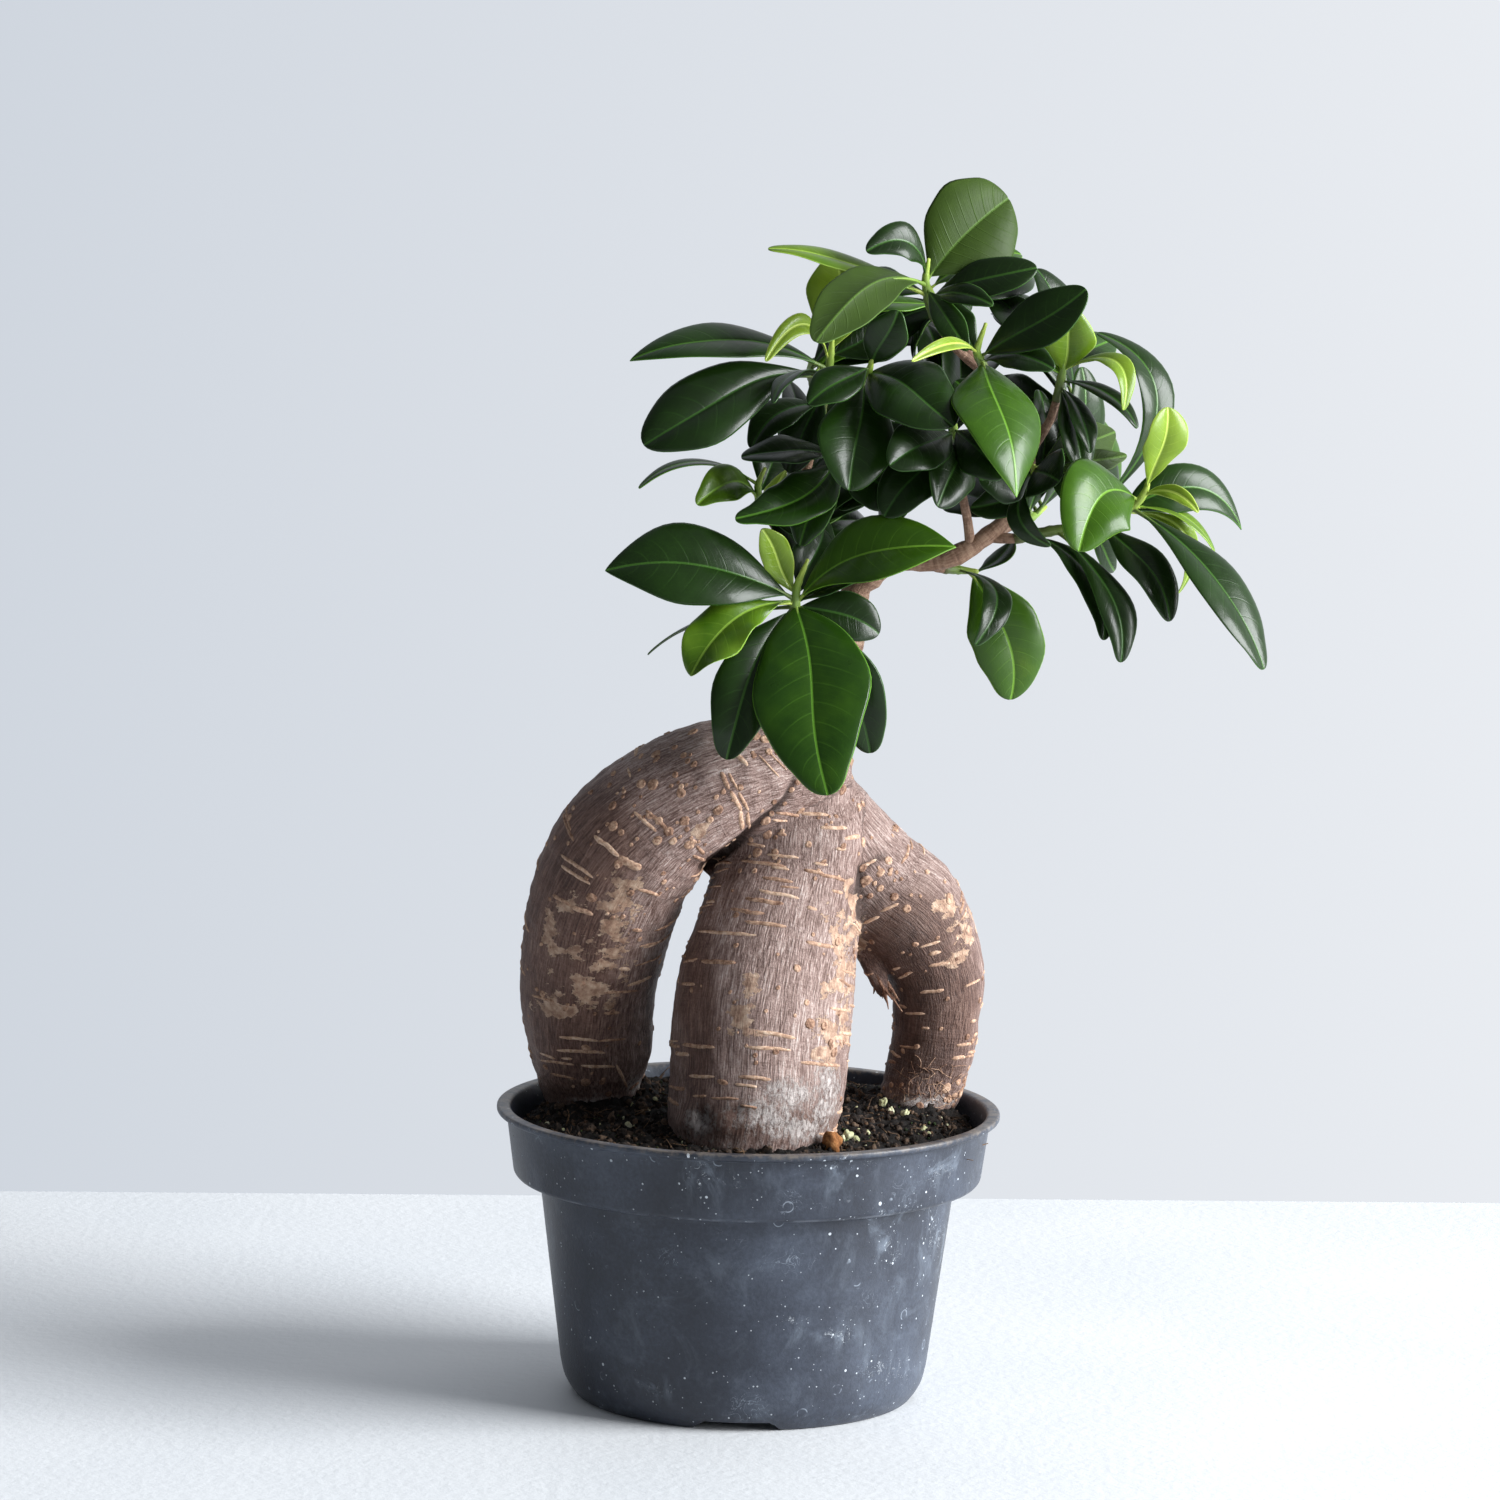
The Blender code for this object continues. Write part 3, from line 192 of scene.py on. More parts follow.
# Ovals in pixels where the bark has peeled, is crusted white, and where the pot is chalky
PEELED = (
    (620, 885, 22, 16), (618, 925, 20, 26), (575, 950, 18, 14), (550, 935, 8, 26),
    (585, 990, 30, 20), (610, 965, 24, 18), (570, 1010, 22, 9), (548, 1003, 14, 6),
    (742, 1015, 14, 16), (750, 990, 8, 14), (748, 1032, 20, 6), (854, 930, 10, 46),
    (840, 985, 14, 40), (830, 1040, 18, 26), (838, 925, 16, 18), (946, 905, 14, 12),
    (958, 945, 14, 18), (966, 925, 12, 14), (955, 960, 12, 8), (700, 830, 9, 7),
    (568, 905, 12, 12), (600, 905, 18, 8),
)
# Ovals where the bark is darker and redder, partly its own colour and partly painted shade on sides
# and gaps turned from the light, and lumps and pits with their height
STAINED_AND_SHADED = (
    (560, 960, 55, 130), (590, 850, 45, 60), (935, 1000, 45, 80), (915, 935, 40, 42),
    (878, 975, 18, 30), (698, 1020, 16, 80), (707, 872, 9, 14),
    (800, 1124, 34, 12), (740, 1120, 30, 16),
)
SEEN_LUMPS = (
    (655, 1035, 9, 50, 1.2), (686, 1122, 9, 12, 1.8), (702, 1117, 4, 9, -2.6),
    (855, 897, 4.5, 12, -2.4), (958, 935, 3, 4, -1.2), (849, 940, 4, 36, -0.5),
    (746, 1010, 12, 26, 0.5), (956, 918, 12, 16, 0.7), (915, 1054, 6, 5, 0.9),
    (962, 1096, 7, 12, 1.0), (842, 836, 16, 24, 1.4), (690, 880, 8, 10, 0.6),
    (722, 1128, 14, 8, 0.8),
)
# Creases between the legs, as pixels along them with how deep they are there; they sink the skin,
# and shade is painted dark along them
SEEN_CREASES = (
    ((703, 868, 2.2), (723, 853, 2.2), (740, 841, 2.0), (755, 829, 1.7), (773, 815, 1.3),
     (785, 802, 1.0), (792, 788, 0.8), (797, 772, 0.7)),
    ((862, 919, 1.0), (861, 880, 1.2), (861, 868, 1.2), (874, 861, 0.8), (884, 855, 0.5)),
)
CREASE_WIDTH = 3.4
# Ovals of painted shade: the bark is painted dark brown on the sides that face into the plant,
# where shade falls
SHADE_PAINTED = (
    (872, 925, 12, 34), (905, 945, 34, 34), (918, 1005, 36, 42), (915, 1060, 36, 40),
    (654, 1010, 8, 80), (676, 930, 8, 26), (702, 1118, 5, 9), (856, 897, 4, 9),
)
STUB = ((-6, 173, 7, 10), (-12.5, 166.5, 8, 8), (-14.8, 161, 8, 5))
ROOT_FIBRES = 26
FOOT_FIBRES = 60
# Thorns on the left leg: across, up and depth of the foot and the point
THORNS = (((-26.5, 150.7, 3), (-23.0, 150.1, 2.5)), ((-33.5, 120.4, 14), (-29.3, 119.7, 13.5)))
CRUSTED = (
    (790, 1095, 30, 16), (828, 1085, 14, 22), (770, 1115, 40, 18), (800, 1130, 40, 14),
    (700, 1122, 14, 14), (600, 1104, 34, 8), (925, 1102, 30, 8), (640, 1085, 14, 10),
    (826, 1110, 14, 18),
)
CHALKED = (
    (702, 1175, 20, 18), (628, 1160, 14, 7), (737, 1180, 8, 6), (754, 1202, 8, 7),
    (885, 1368, 26, 16), (938, 1240, 16, 26), (870, 1208, 50, 8), (940, 1172, 20, 14),
    (850, 1165, 50, 8), (890, 1250, 12, 18), (985, 1110, 14, 14),
    (840, 1335, 20, 12), (790, 1325, 16, 10), (660, 1390, 20, 8),
)
SKIN_VOXEL = 0.95
SKIN_SMOOTHING = 6
POT_FINE_STEPS = 180
# The legs where they leave the soil: across, depth and radius
LEG_FEET = ((-47.0, 25.0, 14.5), (2.0, -15.0, 26.0), (50.5, 24.5, 11.5))
SOIL_SEED = 3
# Crumbs: number, sizes from and to, look and roundness
SOIL_CRUMBS = (
    (3000, 0.3, 0.9, 1, 1), (950, 0.7, 1.7, 1, 2), (110, 1.4, 2.6, 1, 3), (360, 0.4, 1.2, 2, 1),
    (70, 0.4, 1.0, 3, 2), (420, 0.3, 0.8, 5, 1),
)
SOIL_FIBRES = 190
# Materials of the soil's bits, with their dark, middle and light colour
SOIL_LOOKS = (
    ("peat", (8, 7, 6), (20, 16, 14), (46, 37, 31)),
    ("peat_crumb", (9, 7, 6), (38, 29, 24), (108, 88, 72)),
    ("bark_bit", (52, 38, 28), (88, 66, 48), (132, 106, 80)),
    ("perlite", (150, 152, 108), (202, 202, 160), (232, 230, 205)),
    ("grit", (110, 70, 38), (150, 98, 54), (180, 132, 84)),
    ("moss", (18, 26, 14), (40, 56, 28), (82, 100, 52)),
)
# Grit that the photograph shows: pixel across and down, size and look
SEEN_GRITS = (
    (883, 1105, 1.7, 3), (891, 1113, 1.4, 3), (905, 1115, 1.5, 3), (848, 1137, 1.9, 3),
    (842, 1141, 1.4, 3), (856, 1141, 1.3, 3), (628, 1127, 1.3, 3), (547, 1126, 1.2, 3),
    (924, 1131, 1.4, 3), (832, 1147, 3.6, 4), (672, 1068, 1.4, 3), (868, 1134, 1.0, 3),
    (940, 1120, 1.0, 3), (655, 1100, 1.0, 3),
)
TABLE_EDGE = 293.5
TABLE_EDGE_SLOPE = 0.0645
# The room's light from the left round to the window side at the right
WORLD_STOPS = (
    (0.0, (0.25, 0.26, 0.28, 1)), (0.43, (0.62, 0.665, 0.73, 1)), (0.57, (0.825, 0.85, 0.89, 1)),
    (1.0, (1.0, 1.05, 1.12, 1)),
)
ROOM_SHARES = (0.3, 1.0)
# The window in metres from the pot's foot, with its power in watts
WINDOW_PLACE = (2.74, -0.73, 1.13)
WINDOW_AIM = (0, 0, 0.15)
WINDOW_SIZE = 1.9
WINDOW_POWER = 250
WINDOW_COLOUR = (0.96, 0.98, 1.0)
# How the looks of a leaf depart from its solid: how far its fold is opened out, where its
# blade and its rounded tip start, and how blunt a tip has to be to stay drawn out
OPENED = 0.5
BLADE_START = 0.4
TIP_START = 0.88
DRAWN_OUT = 0.8
BLADE_THICKNESS = 0.45
# A leaf's stalk: shares of its way to the blade, and the radius there
PETIOLE_RADII = ((0.0, 0.95), (0.25, 0.72), (0.6, 0.6), (1.0, 0.52), (1.6, 0.4), (2.4, 0.2))
BLADE_RINGS = 30
LEAF_SEED = 7
FOUND = 0.06
FOUND_POINTS = 4


class Leaf(NamedTuple):
    """One leaf as it shows from the front: its root, its tip and how its blade lies.

    turn tips its upper face to the sky, bow bends it in the plane of view, arch bends it
    over, lean moves the bend to the tip, fold closes its halves, and broad below one puts
    the widest place near the root. youth runs from dark to yellow green.
    """

    root: tuple
    tip: tuple
    width: float
    turn: float = 20.0
    bow: float = 0.0
    arch: float = 0.08
    youth: float = 0.15
    fold: float = 12.0
    wave: float = 0.0
    face: int = 1
    broad: float = 1.2
    lean: float = 0.0
    blunt: float = 0.7


class Shoot(NamedTuple):
    """A green twig with its leaves, and the bark-covered branch that carries it."""

    name: str
    branch: tuple
    twig: tuple
    leaves: tuple
    grown: int = 0


LOW_LEFT = Shoot(
    "shoot_low_left",
    ((25.5, 221, -1, 4.4), (18, 230, -9, 3.4), (12, 235, -12, 3.0), (10.6, 238.5, -15, 2.6)),
    ((11.0, 243.5, -20.5, 2.4), (11.5, 249.5, -21, 2.0), (14.5, 257.5, -20, 0.8)),
    (
        Leaf((11.1, 244), (22, 186.5, -50), 35, turn=4, arch=0.06, youth=0.38, fold=8, broad=0.85,
             blunt=0.7),
        Leaf((11, 244), (-20, 222, -42), 18, turn=12, bow=0.13, youth=0.68, fold=22, wave=1.8,
             broad=1.5, blunt=0.6),
        Leaf((11.2, 244), (58.5, 262.5, -34), 24, turn=36, bow=0.08, youth=0.5, fold=35, blunt=1.0),
        Leaf((11, 245), (-46, 253, -34), 27, turn=18, bow=0.065, arch=0.1, youth=0.12, blunt=0.85),
        Leaf((11, 243.5), (-8.5, 196.5, -38), 19, turn=-16, bow=0.1, youth=0.12, wave=1.0,
             blunt=0.62),
        Leaf((11, 243), (36.5, 235.5, -20), 15, turn=14, bow=0.06, youth=0.08, blunt=0.58),
        Leaf((11.2, 243.5), (34.5, 199, -18), 19, turn=-20, bow=0.11, youth=0.1),
        Leaf((11.3, 246), (0.8, 265.8, -27), 10.5, turn=0, arch=-0.1, youth=0.9, fold=34,
             blunt=0.55),
        Leaf((11.2, 246), (19, 267, -8), 14, turn=-10, youth=0.06),
        Leaf((11.2, 244), (34, 254, -24), 12, turn=60, bow=-0.02, youth=0.08),
        Leaf((11, 243), (-33.5, 228.5, -2), 7, turn=74, youth=0.1),
    ),
)
MIDDLE_LEFT = Shoot(
    "shoot_middle_left",
    ((27.6, 236, 3, 4.2), (19, 250, 9, 3.4), (9, 262, 8, 3.0), (2, 270, 4, 2.6)),
    ((-0.5, 275, 1.5, 2.2), (-1, 280, -1, 1.6), (1, 285, -2, 0.8)),
    (
        Leaf((-0.5, 275), (-19, 274, -20), 13, turn=36, bow=0.16, youth=0.62, fold=26, blunt=0.75),
        Leaf((-1, 280), (-37, 279, -16), 8, turn=72, bow=0.1, youth=0.4, fold=4),
        Leaf((0, 273), (7, 284, -9), 5, turn=0, youth=0.95, fold=30),
        Leaf((-0.5, 277), (4, 292, 14), 14, turn=20, youth=0.15),
        Leaf((0, 273), (22, 262, -8), 15, turn=40, youth=0.1),
        Leaf((0, 272), (19, 252, 4), 14, turn=24, youth=0.08),
    ),
)
INNER_LEFT = Shoot(
    "shoot_inner_left",
    ((13, 280, 9, 2.8), (18, 284, 1, 2.4), (21, 286, -6, 2.2)),
    ((23, 288.5, -11, 2.0), (24, 292, -15, 1.0)),
    (
        Leaf((22.5, 286), (-7, 270, -30), 17, turn=26, bow=-0.15, youth=0.3, fold=16, broad=0.8,
             blunt=0.75),
        Leaf((23, 288.5), (-6, 288.5, -18), 15, turn=48, youth=0.08),
        Leaf((23.5, 289), (44, 274, -24), 17, turn=10, youth=0.06),
        Leaf((22, 287), (12, 262, -14), 14, turn=16, youth=0.2),
    ),
)
UPPER_LEFT = Shoot(
    "shoot_upper_left",
    ((9, 262, 8, 3.0), (12, 279, 10, 2.8), (16.5, 296, 9, 2.6), (17.3, 300, 8, 2.5)),
    ((19, 310, 5, 2.3), (19.5, 314, 3.5, 2.2), (20, 320, 2, 1.8), (20.5, 325, 1, 0.8)),
    (
        Leaf((19.5, 315), (-40, 318.5, -22), 17, turn=58, bow=0.03, youth=0.2, fold=0, blunt=0.85),
        Leaf((19.5, 313), (-35, 292, -32), 24, turn=18, bow=0.045, arch=0.1, youth=0.08,
             broad=1.7, blunt=0.55),
        Leaf((19.5, 317), (1, 318, -22), 7, turn=20, bow=0.32, youth=0.95, fold=20),
        Leaf((20, 320), (21.4, 350, 8), 20, turn=-4, bow=0.05, youth=0.85, fold=8, blunt=0.6),
        Leaf((18, 304), (-3, 291, -10), 12, turn=30, bow=0.12, youth=0.05),
        Leaf((19.5, 312.5), (3, 305.5, -30), 7, turn=72, bow=0.05, youth=0.05),
    ),
)
FRONT_LEFT = Shoot(
    "shoot_front_left",
    ((16.5, 296, 9, 2.6), (24, 305, 1, 2.4), (29.5, 311, -8, 2.2)),
    ((31.5, 314.5, -13, 2.0), (32.5, 318.5, -16, 1.0)),
    (
        Leaf((31.5, 314.5), (57, 299, -34), 26, turn=10, bow=0.05, youth=0.1, fold=10,
             broad=0.85, blunt=0.5),
        Leaf((30.5, 312), (26.5, 279.5, -34), 24, turn=6, youth=0.12, fold=10, blunt=0.52),
        Leaf((32, 316), (14, 305, -30), 13, turn=20, youth=0.1),
        Leaf((32, 316), (40, 333, -22), 13, turn=0, youth=0.12),
    ),
)
TOP = Shoot(
    "shoot_top",
    ((68, 314, 11, 3.0), (58, 322, 8, 2.8), (51, 331, 5, 2.4)),
    ((48.8, 337, 3.5, 2.2), (48, 343, 2, 1.8), (48.8, 349, 1, 0.8)),
    (
        Leaf((48, 342), (72, 367.5, 16), 30, turn=0, bow=0.04, youth=0.3, fold=8, broad=1.15,
             blunt=0.45),
        Leaf((48.2, 341), (15.5, 323, -34), 18, turn=20, bow=0.1, youth=0.3, face=-1, blunt=0.55),
        Leaf((48.3, 338), (1.5, 352, -14), 12, turn=56, arch=0.04, youth=0.75, fold=4),
        Leaf((48, 343), (30.5, 351, -14), 12, turn=30, bow=0.25, youth=0.1),
        Leaf((49, 337), (81, 347, 2), 13, turn=24, youth=0.1, blunt=0.55),
        Leaf((48.4, 340), (61, 322, -14), 9, turn=0, youth=0.15),
        Leaf((49, 337), (68, 336, -14), 8, turn=30, bow=0.05, youth=0.12),
    ),
)
FRONT = Shoot(
    "shoot_front",
    ((73, 309, 10, 3.2), (69, 314, 2, 2.6), (66, 317, -4, 2.4)),
    ((64.8, 319.5, -9, 2.2), (64, 322, -12, 1.8), (66.5, 330, -13, 0.8)),
    (
        Leaf((65.2, 318.6), (77, 278.5, -46), 28, turn=10, arch=0.16, youth=0.45, fold=9,
             broad=1.0, blunt=0.95),
        Leaf((64.5, 321), (45, 318.5, -26), 4.5, turn=20, bow=0.06, youth=0.95, fold=24),
        Leaf((65, 320), (96, 340.5, -20), 17, turn=22, bow=-0.05, youth=0.1, blunt=0.55),
        Leaf((65.5, 318), (87, 317, -22), 12, turn=34, bow=0.08, youth=0.08),
        Leaf((64.6, 320), (52, 336, -22), 12, turn=10, youth=0.1),
    ),
)
CENTRE = Shoot(
    "shoot_centre",
    ((63.5, 262, -3, 3.4), (62.5, 270, -5, 2.8), (60, 281, -8, 2.6), (58.3, 292, -11, 2.4)),
    ((57.7, 297, -13, 2.2), (57.5, 302, -15, 1.0)),
    (
        Leaf((58.3, 295.5), (53.5, 275, -36), 17, turn=8, bow=0.05, youth=0.1, fold=10,
             broad=1.0, blunt=0.5),
        Leaf((57.8, 296), (37.5, 271.5, -28), 17, turn=14, youth=0.06, blunt=0.55),
        Leaf((57.7, 297), (39, 287, -30), 17, turn=18, youth=0.06, blunt=0.55),
        Leaf((57.7, 298), (73, 284, -30), 16, turn=10, youth=0.06, blunt=0.6),
    ),
)
INNER_RIGHT = Shoot(
    "shoot_inner_right",
    ((80, 284, 6, 3.0), (81.5, 283.5, -1, 2.4), (82, 283.5, -6, 2.2)),
    ((82, 284, -11, 2.0), (82, 287.5, -15, 1.0)),
    (
        Leaf((81.5, 284.2), (87.3, 263.2, -20), 8, turn=-20, bow=-0.28, youth=0.1),
        Leaf((81.8, 284.2), (63.5, 274.2, -12), 11, turn=20, bow=-0.15, youth=0.1, broad=1.0),
        Leaf((82, 284.6), (66, 283, -24), 18, turn=16, youth=0.06),
        Leaf((82, 286), (89.5, 283, -26), 18, turn=8, youth=0.1),
        Leaf((82, 286), (106, 298, 24), 13, turn=10, youth=0.35, face=-1),
        Leaf((82, 284.4), (109, 290.5, 14), 8, turn=20, youth=0.35, face=-1),
    ),
)
UPPER_RIGHT = Shoot(
    "shoot_upper_right",
    ((80, 290, 7, 3.0), (86, 300, 6, 2.6), (88.3, 307, 4, 2.4)),
    ((89.6, 314, 2, 2.2), (90.6, 319, 0, 1.8), (96, 325, -2, 0.8)),
    (
        Leaf((90, 315.5), (92, 334.5, -4), 17, turn=10, youth=0.8, fold=16),
        Leaf((90.2, 316.5), (108.8, 305.3, -14), 8, turn=34, bow=0.36, youth=0.82, fold=20,
             lean=0.1),
        Leaf((89.5, 313), (113, 300, -16), 9, turn=50, bow=0.06, youth=0.08),
        Leaf((89.2, 311.5), (99, 292, -12), 9, turn=44, bow=0.02, youth=0.06),
        Leaf((90.2, 317), (105, 326, 20), 11, turn=20, youth=0.3),
        Leaf((89.8, 315), (84, 325.5, -12), 9, turn=50, bow=-0.12, youth=0.6),
        Leaf((89, 311), (97, 285, 6), 13, turn=30, youth=0.1),
    ),
)
RIGHT = Shoot(
    "shoot_right",
    ((69, 265.5, -1, 3.6), (73, 265.2, -2, 3.2), (77, 265.2, -3, 3.0)),
    ((87.5, 267.6, -5, 2.6), (94, 268.8, -6, 2.5), (103, 271, -8, 2.4), (111, 274.5, -10, 2.2),
     (115.5, 279.5, -12, 1.8), (117, 285, -13, 0.8)),
    (
        Leaf((112, 275), (154, 228, -30), 21, turn=26, bow=0.045, youth=0.12, fold=16, broad=1.4,
             blunt=0.8),
        Leaf((115.8, 280), (121.8, 305.5, -20), 15.2, turn=-4, bow=0.05, youth=0.95, fold=18,
             broad=1.7, blunt=0.55),
        Leaf((114, 277.5), (96.5, 262.5, -36), 26, turn=8, bow=0.22, arch=0.14, youth=0.52,
             fold=9, broad=1.0, blunt=0.6),
        Leaf((109, 273.5), (145.5, 270, 6), 16, turn=20, bow=0.22, youth=0.2, broad=0.85,
             blunt=0.9),
        Leaf((96, 269.2), (101.5, 328.5, 4), 14, turn=48, bow=0.26, lean=0.25, youth=0.15,
             broad=1.5),
        Leaf((114.5, 278.5), (132, 274.5, -20), 5, turn=20, bow=0.17, youth=0.98, fold=24),
        Leaf((112, 275), (137.5, 262.5, -14), 9, turn=70, bow=0.09, youth=0.7),
        Leaf((82, 266.3), (105, 235.5, -22), 12, turn=60, bow=0.1, youth=0.08, fold=10),
        Leaf((89, 267.8), (110.5, 229, -28), 12, turn=26, bow=0.08, youth=0.08, fold=18,
             broad=1.7, blunt=0.75),
        Leaf((101, 270.6), (124.5, 241.5, -22), 14, turn=12, bow=0.09, youth=0.1, fold=16,
             blunt=0.6),
        Leaf((110, 274), (127.8, 249.3, 8), 7, turn=30, bow=0.25, youth=0.85),
        Leaf((98, 269.8), (107.5, 255.8, 8), 7, turn=10, youth=0.3),
        Leaf((96, 269.2), (90, 289, 6), 11, turn=20, youth=0.08),
    ),
)
HANGING = Shoot(
    "shoot_hanging",
    ((51, 258, -2, 3.2), (53, 256, 0, 2.8), (55.5, 255.4, 2, 2.4)),
    ((60, 255.3, 5, 2.2), (66, 254.8, 6, 1.2)),
    (
        Leaf((63, 255), (77, 216.5, 8), 23, turn=8, bow=0.1, youth=0.55, fold=8, broad=1.0,
             blunt=0.5),
        Leaf((59.5, 255.3), (66.5, 233, -18), 10, turn=34, bow=0.26, youth=0.08),
        Leaf((65, 255), (76, 264.3, 14), 10, turn=60, bow=-0.17, youth=0.2),
        Leaf((59, 255.3), (36.5, 256, 12), 11, turn=50, youth=0.35),
    ),
)
# Shoots on the far side of the head, with their leaves set round the twig by rule
BACK_SHOOTS = (
    Shoot("shoot_back_low_left", ((27.8, 238, 3, 4.0), (21, 250, 16, 3.0), (14, 258, 26, 2.6)),
          ((9, 264, 34, 2.2), (7, 270, 40, 1.0)), (), 7),
    Shoot("shoot_back_left", ((16.5, 296, 9, 2.6), (16, 304, 20, 2.4), (15, 310, 27, 2.2)),
          ((14, 314, 35, 2.0), (14, 318, 41, 1.0)), (), 7),
    Shoot("shoot_back_top", ((63, 318, 10, 3.0), (58, 326, 20, 2.6), (54, 331, 27, 2.4)),
          ((51, 336, 34, 2.2), (49, 341, 40, 1.0)), (), 8),
    Shoot("shoot_back_right", ((80, 292, 8, 3.2), (86, 300, 18, 2.6), (89, 304, 26, 2.4)),
          ((92, 307, 34, 2.2), (94, 310, 41, 1.0)), (), 8),
    Shoot("shoot_back_middle", ((79.5, 281, 5, 3.4), (68, 288, 18, 2.8), (58, 292, 28, 2.4)),
          ((52, 296, 37, 2.2), (48, 300, 44, 1.0)), (), 8),
    Shoot("shoot_back_low_right", ((68.5, 265.8, -2, 3.4), (74, 268, 10, 2.8), (78, 270, 20, 2.4)),
          ((82, 272, 29, 2.2), (86, 275, 36, 1.0)), (), 7),
)
SHOOTS = (
    LOW_LEFT, MIDDLE_LEFT, INNER_LEFT, UPPER_LEFT, FRONT_LEFT, TOP, FRONT, CENTRE, INNER_RIGHT,
    UPPER_RIGHT, RIGHT, HANGING,
) + BACK_SHOOTS
# Leaves that the photograph shows rolled or flat, by shoot and place in its list: the roll at
# the base and at the tip in radians, and the fold in degrees
SEEN_BENDS = {
    ("shoot_front", 0): (0.0, 0.65, -9), ("shoot_low_left", 0): (0.0, -0.1, 2),
    ("shoot_low_left", 1): (0.0, -0.45, 12), ("shoot_low_left", 2): (0.0, 0.0, 14),
    ("shoot_low_left", 3): (-0.15, -0.1, 2), ("shoot_low_left", 4): (-0.1, -0.35, 2),
    ("shoot_low_left", 5): (0.0, -0.1, 3), ("shoot_right", 0): (0.25, 0.5, 3),
    ("shoot_right", 1): (-0.45, -0.7, 10), ("shoot_right", 2): (0.0, 0.25, 7),
    ("shoot_right", 3): (0.0, 0.0, 4), ("shoot_right", 4): (0.0, 0.3, 5),
    ("shoot_right", 7): (-0.4, -0.5, 3), ("shoot_right", 8): (0.0, 0.1, 4),
    ("shoot_right", 9): (0.2, 0.4, 4),
    ("shoot_centre", 0): (0.2, 0.5, 3), ("shoot_front_left", 0): (0.3, 0.45, 0),
    ("shoot_front_left", 1): (0.0, 0.25, 3), ("shoot_top", 0): (0.0, -0.2, 2),
    ("shoot_top", 1): (0.0, 0.1, 5), ("shoot_hanging", 0): (0.0, 0.1, 2),
    ("shoot_hanging", 1): (0.0, 0.0, 6), ("shoot_upper_left", 0): (0.15, 0.1, 2),
}
# Leaves that the photograph shows from below, though their solid lies the other way up
SEEN_UNDERSIDES = (("shoot_top", 0),)
# Small dark leaves deep in the head, which fill it where the photograph shows no light
FILLERS = {"shoot_upper_left": (
    Leaf((19.5, 309), (8, 284, 0), 14, turn=20, youth=0.05, blunt=0.6),
    Leaf((20, 319), (38, 327, 8), 14, turn=20, youth=0.06, blunt=0.6),
), "shoot_top": (
    Leaf((49, 337), (62, 336, 10), 12, turn=20, youth=0.08, blunt=0.6),
)}
GROWTH_SEED = 11
GOLDEN_ANGLE = math.radians(137.5)
GROWN_LENGTHS = (34.0, 50.0)
GROWN_LEANS = (38.0, 80.0)
GROWN_WIDTHS = (0.4, 0.5)
GROWN_TURNS = (25.0, 60.0)
GROWN_ARCHES = (0.04, 0.14)
GROWN_YOUTHS = (0.08, 0.12, 0.2, 0.5)
FORWARD_LIMIT = -0.1
TRIES_A_LEAF = 6
# Where the head is dense from the front, as rounds of across, up and radius
DENSE_ROUNDS = (
    (52, 313, 36), (64, 334, 22), (22, 300, 24), (84, 308, 18), (60, 350, 14), (6, 268, 20),
    (30, 330, 16), (100, 278, 16), (28, 270, 16),
)


def place(across, up, depth):
    """The point at a depth that shows at this place from the front."""
    spread = 1 + depth / VIEW_DISTANCE
    return Vector((across * spread, depth, VIEW_HEIGHT + (up - VIEW_HEIGHT) * spread))


def shown(point):
    """Where a point shows from the front: across and up."""
    spread = 1 + point.y / VIEW_DISTANCE
    return point.x / spread, VIEW_HEIGHT + (point.z - VIEW_HEIGHT) / spread


def sight(x, y):
    """The direction from the eye through a pixel of the photograph."""
    centre = PHOTO_SIZE / 2
    return (GAZE @ Vector((x - centre, centre - y, -FOCAL))).normalized()


def pixels(points):
    """The photograph's pixels where these points show, one row each."""
    seen = (points - np.array(EYE)) @ np.array(GAZE)
    scale = FOCAL / -seen[:, 2]
    centre = PHOTO_SIZE / 2
    return np.stack([centre + seen[:, 0] * scale, centre - seen[:, 1] * scale], axis=1)


